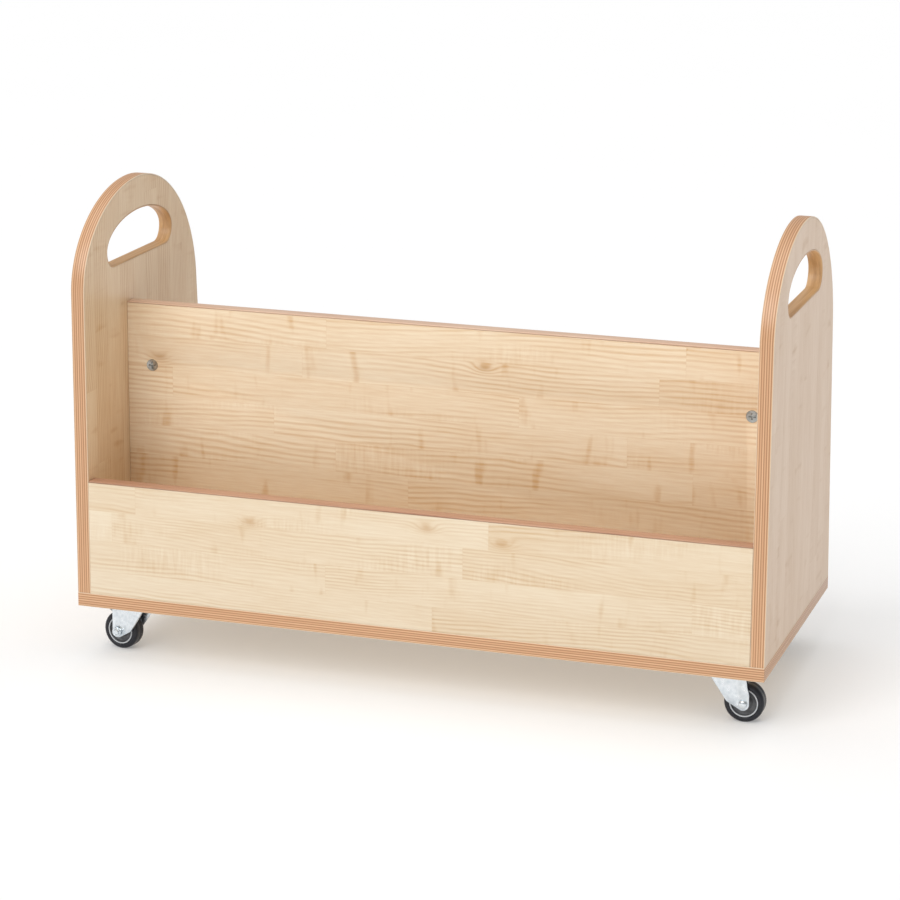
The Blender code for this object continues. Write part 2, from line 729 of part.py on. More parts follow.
def make_axle():
    """Return the axle across the fork: a bolt with a domed head, its spacer tube and its nut."""
    radius, head = AXLE_DIAMETER / 2, AXLE_HEAD / 2
    spacer = radius + SLEEVE_WALL
    half = LEG_INNER - FIT
    seat = LEG_OUTER + FIT
    nut_top = seat + NUT_HEIGHT
    end = nut_top + AXLE_THREAD_SHOWN
    dome = seat + AXLE_HEAD_HEIGHT
    bolt = turned(
        [(0.0, dome), (head * 0.5, dome - AXLE_HEAD_HEIGHT * 0.12),
         (head * 0.87, dome - AXLE_HEAD_HEIGHT * 0.5),
         (head, seat), (radius, seat), (radius, half), (spacer, half), (spacer, -half), (radius, -half),
         (radius, -end), (0.0, -end)], MEDIUM_STEPS)
    nut = flat_piece([circle(0.0, 0.0, NUT_SIZE, 6)], NUT_HEIGHT)
    nut = moved(nut, Matrix.Translation((0.0, 0.0, -seat - NUT_HEIGHT / 2)))
    return moved(joined(bolt, [nut]), Matrix.Rotation(math.pi / 2, 4, "X"))


def make_wheel():
    """Return the moulded wheel centre about its axle: hub, web and rim with a raised lip."""
    bore = AXLE_DIAMETER / 2 + SLEEVE_WALL + FIT
    hub, hub_half = HUB_DIAMETER / 2, HUB_WIDTH / 2
    rim, rim_half = RIM_DIAMETER / 2, WHEEL_WIDTH / 2
    lip, web = rim - RIM_LIP, WEB_THICKNESS / 2
    profile = [
        (bore, hub_half), (hub, hub_half), (hub, web), (lip, web), (lip, rim_half), (rim, rim_half),
        (rim, -rim_half), (lip, -rim_half), (lip, -web), (hub, -web), (hub, -hub_half), (bore, -hub_half)]
    return moved(turned(profile, WHEEL_STEPS, closed=True), Matrix.Rotation(math.pi / 2, 4, "X"))


def make_tyre():
    """Return the rubber tyre about its axle, with rounded shoulders."""
    inner, outer, half = RIM_DIAMETER / 2 + FIT, WHEEL_RADIUS, WHEEL_WIDTH / 2
    round_off = TYRE_SHOULDER
    upper = ellipse_arc((outer - round_off, half - round_off), (round_off, round_off), math.pi / 2, 0.0, 2)
    lower = [(x, -y) for x, y in upper[::-1]]
    profile = [(inner, half), *upper, *lower, (inner, -half)]
    return moved(turned(profile, WHEEL_STEPS, closed=True), Matrix.Rotation(math.pi / 2, 4, "X"))


def pedal_top(along):
    """Return the height of a pedal's top face over its pivot, at a distance towards the toe."""
    return BRAKE_PIN_DIAMETER / 2 + FIT + BRAKE_STEEL - BRAKE_SLOPE * max(along, 0.0)


def side_plate(outline, width):
    """Return a piece with an outline in the XZ plane and its width along Y, about Y zero."""
    return moved(flat_piece([outline], width), IN_XZ)


def tyre_top(x):
    """Return the height of the tyre's tread at a distance from the swivel axis."""
    return AXLE_Z + math.sqrt(WHEEL_RADIUS ** 2 - (x - TRAIL) ** 2)


def make_shoe():
    """Return the brake shoe under a pedal, about its pivot, just clear of the tyre when pressed."""
    near = BRAKE_SHOE_REACH - BRAKE_SHOE_LENGTH / 2
    far = BRAKE_SHOE_REACH + BRAKE_SHOE_LENGTH / 2
    travel = BRAKE_SHOE_REACH * math.sin(BRAKE_TRAVEL)
    low = tyre_top(BRAKE_PIVOT_X + near) - BRAKE_PIVOT_Z + travel + 2 * FIT
    high = pedal_top(far) - BRAKE_STEEL / 2
    return side_plate([(near, low), (far, low), (far, high), (near, high)], BRAKE_SHOE_WIDTH)


def make_pedal():
    """Return a brake pedal about its pivot: a channel over the wheel, a wide toe and a shoe."""
    inside = WHEEL_WIDTH + 4 * FIT
    outside = inside + 2 * BRAKE_STEEL
    reach = BRAKE_REACH - BRAKE_PIVOT_X
    toe = reach - BRAKE_TOE_LENGTH
    tip = reach - BRAKE_TOE_LENGTH / 2
    end = toe - BRAKE_STEEL
    heel, drop = BRAKE_HEEL, BRAKE_FLANGE_DROP
    body = side_plate([
        (-heel, pedal_top(0.0)), (0.0, pedal_top(0.0)), (tip, pedal_top(tip)),
        (tip, pedal_top(tip) - BRAKE_STEEL), (toe, pedal_top(toe) - 2 * BRAKE_STEEL), (heel, -drop),
        (-heel / 2, -drop * 0.7), (-heel, 0.0)], outside)
    hollow = side_plate([
        (-2 * heel, pedal_top(0.0) - BRAKE_STEEL), (0.0, pedal_top(0.0) - BRAKE_STEEL),
        (end, pedal_top(end) - BRAKE_STEEL), (end, -2 * drop), (-2 * heel, -2 * drop)], inside)
    lip = BRAKE_STEEL / 4
    pad = side_plate([
        (toe, pedal_top(toe) + lip), (reach, pedal_top(reach) + lip),
        (reach, pedal_top(reach) - BRAKE_STEEL - lip),
        (toe, pedal_top(toe) - BRAKE_STEEL - lip)], BRAKE_TOE_WIDTH)
    pedal = joined(carved(body, [hollow]), [pad, make_shoe()])
    return carved(pedal, [rod((0.0, -outside, 0.0), (0.0, outside, 0.0), BRAKE_PIN_DIAMETER + 2 * FIT)])


def make_brake_pin():
    """Return the headed pin that a brake pedal turns on, about the brake's pivot."""
    radius, head = BRAKE_PIN_DIAMETER / 2, BRAKE_PIN_HEAD / 2
    seat = LEG_OUTER + FIT
    end = seat + BRAKE_PIN_HEAD_HEIGHT
    profile = [
        (0.0, end), (head * 0.8, end), (head, seat), (radius, seat),
        (radius, -seat), (head, -seat), (head * 0.8, -end), (0.0, -end)]
    return moved(turned(profile, SMALL_STEPS), Matrix.Rotation(math.pi / 2, 4, "X"))


def build_boards(parts, finishes):
    """Add the boards and their edging."""
    melamine, edging = finishes["melamine"], finishes["edging"]
    add_node("base_panel", make_base(), melamine, parts)
    add_node("base_edging", make_base_edging(), edging, parts)
    for name, side in SIDES.items():
        add_node(f"{name}_end_panel", make_end_panel(side), melamine, parts)
        add_node(f"{name}_end_edging", make_end_edging(side), edging, parts)
        add_node(f"{name}_handle_lining", make_handle_lining(side), finishes["lining"], parts)
    for name, spec in CROSS_PANELS.items():
        add_node(f"{name}_panel", make_cross_panel(spec), melamine, parts)
        add_node(f"{name}_top_edging", make_top_edging(spec), finishes["lining"], parts)


def build_fittings(parts, finishes):
    """Add the cam locks with their bolts, and the dowels."""
    cam, dowel = make_cam(), make_dowel()
    for name, side, y, z, face in cam_places():
        add_node(name, moved(cam.copy(), cam_matrix(side, y, z, face)), finishes["zinc"], parts)
    for name, side, y, z in dowel_places():
        add_node(name, moved(dowel.copy(), dowel_matrix(side, y, z)), finishes["beech"], parts)


def build_castors(parts, finishes):
    """Add the four castors, two of them with a foot brake."""
    zinc = finishes["zinc"]
    plate, cage, kingpin, axle_bolt = make_plate(), make_ball_cage(), make_kingpin(), make_axle()
    wheel, tyre, pedal, pin = make_wheel(), make_tyre(), make_pedal(), make_brake_pin()
    forks = {True: make_fork(True), False: make_fork(False)}
    for corner, (side_x, side_y, turn, braked) in CASTORS.items():
        centre = castor_centre(side_x, side_y)
        mount = add_empty(f"{corner}_mount", parts, centre)
        swivel = add_empty(f"{corner}_swivel", parts, centre, turn)
        axle = add_empty(f"{corner}_axle_line", parts, (TRAIL, 0.0, AXLE_Z), parent=swivel)
        add_node(f"{corner}_mounting_plate", plate, zinc, parts, mount)
        add_node(f"{corner}_ball_cage", cage, zinc, parts, mount)
        add_node(f"{corner}_kingpin", kingpin, zinc, parts, mount)
        add_node(f"{corner}_fork", forks[braked], zinc, parts, swivel)
        add_node(f"{corner}_axle", axle_bolt, zinc, parts, axle)
        add_node(f"{corner}_wheel_centre", wheel, finishes["nylon"], parts, axle)
        add_node(f"{corner}_tyre", tyre, finishes["rubber"], parts, axle)
        if braked:
            pivot = add_empty(
                f"{corner}_brake_pivot", parts, (BRAKE_PIVOT_X, 0.0, BRAKE_PIVOT_Z), parent=swivel)
            add_node(f"{corner}_brake_pedal", pedal, zinc, parts, pivot)
            add_node(f"{corner}_brake_pin", pin, zinc, parts, pivot)


def main():
    """Build the whole unit."""
    for old in list(bpy.data.objects):
        bpy.data.objects.remove(old)
    parts = bpy.data.collections.new("mobile_book_storage_unit")
    bpy.context.scene.collection.children.link(parts)
    finishes = {
        "melamine": make_material("maple melamine board", "E6CFA8", 0.5),
        "edging": make_material("ply effect edging", "C9996C", 0.5),
        "lining": make_material("plain maple edging", "B98F63", 0.5),
        "beech": make_material("beech dowel", "D2A878", 0.7),
        "zinc": make_material("zinc plated steel", "CDD5DA", 0.32, 1.0),
        "nylon": make_material("grey nylon", "6F6F70", 0.45),
        "rubber": make_material("dark rubber", "1D1F29", 0.6),
    }
    build_boards(parts, finishes)
    build_fittings(parts, finishes)
    build_castors(parts, finishes)


main()
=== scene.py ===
"""Looks of a mobile book storage unit: maple melamine boards with ply effect edging, on four castors.

Metres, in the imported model's frame: +Z up, the front faces -Y, and the floor is at zero height.
Each board, fitting and castor part is modelled here finely and stands for its plain solid.
"""

import json
import logging
import math
from contextlib import contextmanager
from dataclasses import dataclass
from enum import Enum
from typing import Callable, Iterator, Sequence

import bmesh
import bpy
from mathutils import Matrix, Vector


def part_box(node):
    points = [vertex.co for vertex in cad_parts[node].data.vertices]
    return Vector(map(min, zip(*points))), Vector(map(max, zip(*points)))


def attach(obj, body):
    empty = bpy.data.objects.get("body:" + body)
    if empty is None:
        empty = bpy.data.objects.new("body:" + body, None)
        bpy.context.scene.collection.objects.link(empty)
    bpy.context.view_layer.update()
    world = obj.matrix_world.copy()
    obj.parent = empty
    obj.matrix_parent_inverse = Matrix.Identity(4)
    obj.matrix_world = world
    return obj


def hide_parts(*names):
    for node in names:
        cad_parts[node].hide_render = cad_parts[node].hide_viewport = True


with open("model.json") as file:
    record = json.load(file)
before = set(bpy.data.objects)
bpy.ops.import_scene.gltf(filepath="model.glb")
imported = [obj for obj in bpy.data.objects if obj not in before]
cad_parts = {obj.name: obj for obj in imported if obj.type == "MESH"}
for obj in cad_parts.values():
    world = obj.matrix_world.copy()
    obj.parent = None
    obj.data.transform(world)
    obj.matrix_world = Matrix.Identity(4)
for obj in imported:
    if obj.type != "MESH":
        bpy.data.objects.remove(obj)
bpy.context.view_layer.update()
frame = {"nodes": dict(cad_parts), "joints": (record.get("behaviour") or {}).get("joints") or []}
LOG = logging.getLogger("book_storage_unit")

Piece = bpy.types.Object
Socket = bpy.types.NodeSocket
Tree = bpy.types.NodeTree
MM = 0.001
SMOOTH_BELOW = math.radians(35.0)
ROUND_ABOVE = math.radians(40.0)


class Axis(Enum):
    """An axis of the unit's frame, as its index."""

    X = 0
    Y = 1
    Z = 2


class Part(Enum):
    """The kind of mesh element that a selection is made of."""

    VERT = "VERT"
    EDGE = "EDGE"
    FACE = "FACE"


class Side(Enum):
    """The unit's left and right, as the sign of X."""

    LEFT = -1
    RIGHT = 1

    @property
    def word(self) -> str:
        """The side's name in the names of pieces."""
        return self.name.lower()


class Slot(Enum):
    """The material slots of the record."""

    BOARD = "melamine_board"
    STRIPED = "striped_edging"
    PLAIN = "plain_edging"
    ZINC = "zinc_plated_steel"
    NYLON = "grey_nylon"
    RUBBER = "dark_rubber"


@dataclass(frozen=True)
class Extent:
    """The box of a node of the frame."""

    low: Vector
    high: Vector

    @classmethod
    def of(cls, node: str) -> "Extent":
        """Measure one node of the frame at rest."""
        return cls(*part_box(node))

    @property
    def middle(self) -> Vector:
        """The middle of the box."""
        return (self.low + self.high) / 2

    @property
    def size(self) -> Vector:
        """The length of the box along each axis."""
        return self.high - self.low

    def inner_x(self, side: Side) -> float:
        """The place of the face towards the unit's middle, of a box on one side."""
        return self.low.x if side is Side.RIGHT else self.high.x


def linear(hex_colour: str) -> tuple[float, float, float, float]:
    """Turn an sRGB hex colour into linear light.

    Args:
        hex_colour: Six hex digits.

    Returns:
        Linear red, green and blue, and full alpha.
    """
    parts = [int(hex_colour[i:i + 2], 16) / 255 for i in (0, 2, 4)]
    red, green, blue = (p / 12.92 if p <= 0.04045 else ((p + 0.055) / 1.055) ** 2.4 for p in parts)
    return red, green, blue, 1.0


def select_only(piece: Piece) -> None:
    """Select one object alone and make it active.

    Args:
        piece: The object.
    """
    bpy.ops.object.select_all(action="DESELECT")
    piece.select_set(True)
    bpy.context.view_layer.objects.active = piece


@contextmanager
def editing(piece: Piece) -> Iterator[None]:
    """Open one object in edit mode with nothing selected, and close it afterwards.

    Args:
        piece: The object to shape.
    """
    select_only(piece)
    bpy.ops.object.mode_set(mode="EDIT")
    bpy.ops.mesh.select_all(action="DESELECT")
    yield
    bpy.ops.object.mode_set(mode="OBJECT")


def pick(piece: Piece, kind: Part, test: Callable[[object], bool]) -> None:
    """Select the elements of an object in edit mode that pass a test, and nothing else.

    Args:
        piece: The object, in edit mode.
        kind: Whether vertices, edges or faces are picked.
        test: Says of one element whether it is picked.
    """
    bpy.ops.mesh.select_mode(type=kind.value)
    bpy.ops.mesh.select_all(action="DESELECT")
    shape = bmesh.from_edit_mesh(piece.data)
    elements = {Part.VERT: shape.verts, Part.EDGE: shape.edges, Part.FACE: shape.faces}[kind]
    for element in elements:
        if test(element):
            element.select_set(True)
    shape.select_flush_mode()
    bmesh.update_edit_mesh(piece.data)


def select_whole() -> None:
    """Select every element of the object in edit mode."""
    bpy.ops.mesh.select_all(action="SELECT")


def cut_off(point: Sequence[float], normal: Sequence[float]) -> None:
    """Cut away what lies beyond a plane from the object in edit mode, and close the cut."""
    select_whole()
    bpy.ops.mesh.bisect(plane_co=point, plane_no=normal, clear_outer=True, use_fill=True)


def runs_along(edge: bmesh.types.BMEdge, axis: Axis) -> bool:
    """Tell whether an edge reaches more than a millimetre along an axis."""
    return abs(edge.verts[0].co[axis.value] - edge.verts[1].co[axis.value]) > MM


def settled(name: str) -> Piece:
    """Name the primitive that was just added and apply its placement to its mesh.

    Args:
        name: The piece's name.

    Returns:
        The object.
    """
    piece = bpy.context.active_object
    piece.name = name
    piece.data.name = name
    bpy.ops.object.transform_apply(location=True, rotation=True, scale=True)
    return piece


def block(name: str, low: Sequence[float], high: Sequence[float]) -> Piece:
    """Add a rectangular block between two corners.

    Args:
        name: The piece's name.
        low: Its lowest corner.
        high: Its highest corner.

    Returns:
        The object.
    """
    low, high = Vector(low), Vector(high)
    bpy.ops.mesh.primitive_cube_add(size=1.0, location=(low + high) / 2, scale=high - low)
    return settled(name)


def rod(name: str, start: Sequence[float], end: Sequence[float], diameter: float, steps: int = 48) -> Piece:
    """Add a capped cylinder between two points.

    Args:
        name: The piece's name.
        start: The middle of one end.
        end: The middle of the other end.
        diameter: Its diameter.
        steps: How many sides it has.

    Returns:
        The object.
    """
    start, end = Vector(start), Vector(end)
    along = end - start
    bpy.ops.mesh.primitive_cylinder_add(
        vertices=steps, radius=diameter / 2, depth=along.length, location=(start + end) / 2,
        rotation=along.to_track_quat("Z", "Y").to_euler())
    return settled(name)


def turned(name: str, profile: Sequence[tuple[float, float]], steps: int = 64, closed: bool = False) -> Piece:
    """Draw a profile by extruding a point, and spin it about Z.

    Args:
        name: The piece's name.
        profile: The (radius, height) points of the profile, in order.
        steps: How many steps make the full turn.
        closed: Whether the profile's last point joins its first.

    Returns:
        The object.
    """
    radius, height = profile[0]
    bpy.ops.mesh.primitive_plane_add(size=MM, location=(radius, 0.0, height))
    piece = settled(name)
    with editing(piece):
        bpy.ops.mesh.select_mode(type="VERT")
        select_whole()
        bpy.ops.mesh.merge(type="CENTER")
        select_whole()
        for (r0, h0), (r1, h1) in zip(profile, profile[1:]):
            bpy.ops.mesh.extrude_vertices_move(TRANSFORM_OT_translate={"value": (r1 - r0, 0.0, h1 - h0)})
        if closed:
            pick(piece, Part.VERT, lambda vert: len(vert.link_edges) == 1)
            bpy.ops.mesh.edge_face_add()
        select_whole()
        bpy.ops.mesh.spin(steps=steps, angle=math.tau, center=(0.0, 0.0, 0.0), axis=(0.0, 0.0, 1.0))
        select_whole()
        bpy.ops.mesh.remove_doubles(threshold=0.002 * MM)
        bpy.ops.mesh.normals_make_consistent(inside=False)
    return piece


def arc(centre: tuple[float, float], radius: float, start: float, end: float, steps: int) -> list:
    """Work out points along a circular arc.

    Args:
        centre: The arc's centre.
        radius: Its radius.
        start: Its first angle in degrees.
        end: Its last angle in degrees.
        steps: How many chords it has.

    Returns:
        The points, both ends included.
    """
    angles = [math.radians(start + (end - start) * i / steps) for i in range(steps + 1)]
    return [(centre[0] + radius * math.cos(a), centre[1] + radius * math.sin(a)) for a in angles]


def turn_and_move(piece: Piece, matrix: Matrix) -> Piece:
    """Place a piece and apply the placement to its mesh.

    Args:
        piece: The piece, at the origin.
        matrix: Where it goes.

    Returns:
        The same piece.
    """
    piece.matrix_world = matrix
    select_only(piece)
    bpy.ops.object.transform_apply(location=True, rotation=True, scale=True)
    return piece


def twin(piece: Piece, name: str) -> Piece:
    """Copy a piece with a mesh of its own.

    Args:
        piece: What is copied.
        name: The copy's name.

    Returns:
        The copy.
    """
    select_only(piece)
    bpy.ops.object.duplicate(linked=False)
    copy = bpy.context.active_object
    copy.name = name
    copy.data.name = name
    return copy


def united(pieces: Sequence[Piece]) -> Piece:
    """Join separate pieces into the first one's mesh.

    Args:
        pieces: The pieces, the one that stays first.

    Returns:
        The first piece.
    """
    select_only(pieces[0])
    for piece in pieces[1:]:
        piece.select_set(True)
    bpy.ops.object.join()
    return bpy.context.active_object


def apply_modifier(piece: Piece, kind: str, **settings: object) -> None:
    """Add a modifier with its settings and apply it.

    Args:
        piece: The piece that it works on.
        kind: The modifier's type.
        settings: The modifier's settings by name.
    """
    modifier = piece.modifiers.new(kind.lower(), kind)
    for name, value in settings.items():
        setattr(modifier, name, value)
    select_only(piece)
    bpy.ops.object.modifier_apply(modifier=modifier.name)


def boolean(piece: Piece, tools: Sequence[Piece], operation: str = "DIFFERENCE") -> Piece:
    """Cut tools out of a piece, or weld them to it, and remove the tools.

    Args:
        piece: The piece that stays.
        tools: The shapes that work on it.
        operation: DIFFERENCE to cut or UNION to weld.

    Returns:
        The same piece.
    """
    for tool in tools:
        apply_modifier(piece, "BOOLEAN", object=tool, operation=operation, solver="EXACT")
        bpy.data.objects.remove(tool)
    return piece


def shaded(piece: Piece) -> Piece:
    """Shade a piece smooth between its sharp edges.

    Args:
        piece: The piece.

    Returns:
        The same piece.
    """
    select_only(piece)
    bpy.ops.object.shade_smooth_by_angle(angle=SMOOTH_BELOW)
    return piece


def softened(piece: Piece, radius: float, segments: int = 2) -> Piece:
    """Round a piece's sharp edges a little and shade it smooth between them.

    Args:
        piece: The piece.
        radius: The rounding's width.
        segments: How many faces the rounding has.

    Returns:
        The same piece.
    """
    apply_modifier(
        piece, "BEVEL", width=radius, segments=segments, limit_method="ANGLE", angle_limit=ROUND_ABOVE,
        use_clamp_overlap=True, miter_outer="MITER_ARC")
    return shaded(piece)


def dress(piece: Piece, material: bpy.types.Material, slot: Slot, body: str, *nodes: str) -> Piece:
    """Give a finished piece its material and tie it to the frame.

    Args:
        piece: The piece, in place.
        material: Its finish.
        slot: The record's slot that the finish belongs to; not used.
        body: The body that it moves with.
        nodes: The nodes of the frame that it stands for.

    Returns:
        The same piece.
    """
    piece.data.materials.clear()
    piece.data.materials.append(material)
    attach(piece, body)
    if nodes:
        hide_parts(*nodes)
    LOG.info("%s: %d faces, moves with %s", piece.name, len(piece.data.polygons), body)
    return piece


def fill(tree: Tree, target: bpy.types.Node, sockets: dict) -> None:
    """Link or set the input sockets of a shader node.

    Args:
        tree: The node tree.
        target: The node.
        sockets: A link or a value for each input socket, by its name or index.
    """
    for key, value in sockets.items():
        if isinstance(value, Socket):
            tree.links.new(value, target.inputs[key])
        else:
            target.inputs[key].default_value = value


def node(tree: Tree, kind: str, settings: dict | None = None, sockets: dict | None = None) -> bpy.types.Node:
    """Add a shader node with its settings, and fill its sockets.

    Args:
        tree: The node tree.
        kind: The node's type.
        settings: The node's own settings by name.
        sockets: A link or a value for each input socket, by its name or index.

    Returns:
        The node.
    """
    added = tree.nodes.new(kind)
    for name, value in (settings or {}).items():
        setattr(added, name, value)
    fill(tree, added, sockets or {})
    return added


def maths(tree: Tree, operation: str, *values: Socket | float) -> Socket:
    """Work out one number from others in a shader.

    Args:
        tree: The node tree.
        operation: The Math node's operation.
        values: Its inputs in order.

    Returns:
        The result.
    """
    return node(tree, "ShaderNodeMath", {"operation": operation}, dict(enumerate(values))).outputs[0]


def blend(tree: Tree, amount: Socket | float, first: Socket | str, second: Socket | str) -> Socket:
    """Mix two colours in a shader.

    Args:
        tree: The node tree.
        amount: How much of the second colour is mixed in.
        first: The first colour, a link or six hex digits.
        second: The second colour, likewise.

    Returns:
        The mixed colour.
    """
    first, second = (linear(colour) if isinstance(colour, str) else colour for colour in (first, second))
    settings = {"data_type": "RGBA", "clamp_factor": True}
    return node(tree, "ShaderNodeMix", settings, {0: amount, 6: first, 7: second}).outputs[2]


def noise(tree: Tree, vector: Socket, scale: float | tuple[float, float, float], detail: float = 2.0,
          roughness: float = 0.5) -> Socket:
    """Read a noise pattern in a shader.

    Args:
        tree: The node tree.
        vector: Where it is read.
        scale: How many features it has in a metre, or in a metre of each axis.
        detail: How many finer layers it has.
        roughness: How strong the finer layers are.

    Returns:
        The noise, about 0.5 on average.
    """
    if isinstance(scale, tuple):
        vector, scale = stretched(tree, vector, *scale), 1.0
    sockets = {"Vector": vector, "Scale": scale, "Detail": detail, "Roughness": roughness}
    return node(tree, "ShaderNodeTexNoise", None, sockets).outputs["Fac"]


def ramp(tree: Tree, value: Socket, low: float, high: float) -> Socket:
    """Spread a value smoothly from 0 at one level to 1 at another.

    Args:
        tree: The node tree.
        value: The value.
        low: The level that gives 0.
        high: The level that gives 1.

    Returns:
        The spread value.
    """
    settings = {"interpolation_type": "SMOOTHSTEP"}
    return node(tree, "ShaderNodeMapRange", settings, {0: value, 1: low, 2: high, 3: 0.0, 4: 1.0}).outputs[0]


def relief(tree: Tree, height: Socket, strength: float, depth: float = 0.2 * MM) -> Socket:
    """Turn a pattern into the fine relief of a surface.

    Args:
        tree: The node tree.
        height: The pattern.
        strength: How much of the relief shows.
        depth: How high the pattern stands.

    Returns:
        The direction that the surface faces.
    """
    sockets = {"Strength": strength, "Distance": depth, "Height": height}
    return node(tree, "ShaderNodeBump", None, sockets).outputs[0]


def new_material(name: str) -> tuple[bpy.types.Material, Tree, bpy.types.Node]:
    """Start a material with its Principled shader.

    Args:
        name: The finish's name.

    Returns:
        The material, its node tree and the shader node.
    """
    material = bpy.data.materials.new(name)
    material.use_nodes = True
    tree = material.node_tree
    return material, tree, tree.nodes["Principled BSDF"]


def unit_coordinates(tree: Tree, along: Axis = Axis.X, across: Axis = Axis.Y,
                     origin: Sequence[float] = (0.0, 0.0, 0.0)) -> Socket:
    """Read the Object coordinates with the grain first, from a point of the unit.

    Args:
        tree: The node tree.
        along: The axis that becomes X, along the grain.
        across: The axis that becomes Y, across the grain.
        origin: The point that becomes zero.

    Returns:
        The reordered coordinates in metres.
    """
    through = next(axis for axis in Axis if axis not in (along, across))
    coordinates = node(tree, "ShaderNodeTexCoord")
    mapping = node(tree, "ShaderNodeMapping", None, {0: coordinates.outputs["Object"], 1: -Vector(origin)})
    split = node(tree, "ShaderNodeSeparateXYZ", None, {0: mapping.outputs[0]})
    ordered = {0: split.outputs[along.value], 1: split.outputs[across.value], 2: split.outputs[through.value]}
    return node(tree, "ShaderNodeCombineXYZ", None, ordered).outputs[0]


def stretched(tree: Tree, vector: Socket, x: float, y: float, z: float) -> Socket:
    """Scale coordinates before a pattern reads them.

    Args:
        tree: The node tree.
        vector: The coordinates.
        x: The factor along the grain.
        y: The factor across the grain.
        z: The factor through the board.

    Returns:
        The scaled coordinates.
    """
    return node(tree, "ShaderNodeVectorMath", {"operation": "MULTIPLY"}, {0: vector, 1: (x, y, z)}).outputs[0]


@dataclass(frozen=True)
class MapleMelamine:
    """Melamine faced chipboard with a printed maple decor, pressed against a finely textured plate.

    The print shows narrow staves with staggered ends. Fine growth lines run along them and swing round
    a few pin knots, with patches of curl and short upright flecks. The resin over it is satin.
    """

    name: str
    along: Axis
    across: Axis
    origin: Vector
    knots: tuple[tuple[float, float], ...] = ()
    light: str = "EDDDC3"
    dark: str = "D0AD80"
    knot: str = "C2986A"
    contrast: float = 0.40
    stave_width: float = 0.040
    stave_length: float = 0.47
    line_spacing: float = 0.0050
    knot_reach: tuple[float, float] = (0.016, 0.008)

    def material(self) -> bpy.types.Material:
        """Build the board's material."""
        material, tree, shader = new_material(self.name)
        place = unit_coordinates(tree, self.along, self.across, self.origin)
        split = node(tree, "ShaderNodeSeparateXYZ", None, {0: place})
        along, across, through = split.outputs
        row_place = maths(tree, "DIVIDE", across, self.stave_width)
        row = maths(tree, "FLOOR", row_place)
        stagger = node(tree, "ShaderNodeTexWhiteNoise", {"noise_dimensions": "1D"}, {"W": row})
        lengths = maths(tree, "DIVIDE", along, self.stave_length)
        end_place = maths(tree, "MULTIPLY_ADD", stagger.outputs["Value"], 7.0, lengths)
        cell = node(tree, "ShaderNodeCombineXYZ", None, {0: row, 1: maths(tree, "FLOOR", end_place), 2: 0.0})
        stave = node(tree, "ShaderNodeTexWhiteNoise", {"noise_dimensions": "3D"}, {"Vector": cell.outputs[0]})
        shift = stretched(tree, stave.outputs["Color"], 5.0, 3.0, 2.0)
        grain = node(tree, "ShaderNodeVectorMath", {"operation": "ADD"}, {0: place, 1: shift}).outputs[0]

        knots = self._knots(tree, place)
        fibre = noise(tree, grain, (26.0, 430.0, 430.0), 3.0, 0.65)
        cloud = noise(tree, grain, (3.0, 11.0, 11.0), 2.0)
        depth = maths(tree, "MULTIPLY_ADD", self._growth_lines(tree, grain, knots), self.contrast, 0.22)
        for pattern, strength in ((fibre, 0.70), (cloud, 0.50), (stave.outputs["Value"], 0.12)):
            depth = maths(tree, "MULTIPLY_ADD", maths(tree, "SUBTRACT", pattern, 0.5), strength, depth)
        depth = maths(tree, "ADD", depth, self._figure(tree, grain))
        depth = maths(tree, "ADD", depth, self._seams(tree, row_place, end_place))
        depth = maths(tree, "MULTIPLY_ADD", knots, 0.28, depth)
        colour = blend(tree, depth, self.light, self.dark)
        core = maths(tree, "MULTIPLY", maths(tree, "POWER", knots, 4.0), 0.45)
        pores = noise(tree, grain, (90.0, 900.0, 900.0), 2.0)
        fill(tree, shader, {
            "Base Color": blend(tree, core, colour, self.knot),
            "Roughness": maths(tree, "MULTIPLY_ADD", fibre, 0.10, 0.36),
            "IOR": 1.52,
            "Specular IOR Level": 0.45,
            "Normal": relief(tree, pores, 0.06, 0.3 * MM)})
        return material

    def _knots(self, tree: Tree, place: Socket) -> Socket | float:
        """Draw the print's pin knots as soft round hills.

        Args:
            tree: The node tree.
            place: The coordinates with the grain first.

        Returns:
            The hills, 1 in the middle of a knot.
        """
        hills = 0.0
        for along, across in self.knots:
            centre = (along - self.origin[self.along.value], across - self.origin[self.across.value], 0.0)
            off = node(tree, "ShaderNodeVectorMath", {"operation": "SUBTRACT"}, {0: place, 1: centre})
            off = stretched(tree, off.outputs[0], 1.0 / self.knot_reach[0], 1.0 / self.knot_reach[1], 0.0)
            square = node(tree, "ShaderNodeVectorMath", {"operation": "DOT_PRODUCT"}, {0: off, 1: off})
            hill = maths(tree, "EXPONENT", maths(tree, "MULTIPLY", square.outputs["Value"], -1.0))
            hills = maths(tree, "ADD", hills, hill)
        return hills

    def _growth_lines(self, tree: Tree, place: Socket, knots: Socket | float) -> Socket:
        """Draw the growth lines, which run along the grain, sway a little and go round the knots.

        Args:
            tree: The node tree.
            place: The coordinates along the grain of each stave.
            knots: The hills of the knots.

        Returns:
            The lines, 1 where they are darkest.
        """
        across = node(tree, "ShaderNodeSeparateXYZ", None, {0: place}).outputs[1]
        swing = noise(tree, place, (2.2, 9.0, 4.0), 1.0)
        tremble = noise(tree, place, (14.0, 30.0, 4.0), 1.0)
        level = across
        for pattern, reach in ((swing, 0.045), (tremble, 0.006), (knots, 0.012)):
            level = maths(tree, "MULTIPLY_ADD", pattern, reach, level)
        turns = maths(tree, "MULTIPLY", level, math.tau / self.line_spacing)
        wave = maths(tree, "MULTIPLY_ADD", maths(tree, "SINE", turns), 0.5, 0.5)
        strength = noise(tree, place, (3.0, 26.0, 4.0), 1.0)
        return maths(tree, "MULTIPLY", maths(tree, "POWER", wave, 1.8), ramp(tree, strength, 0.34, 0.66))

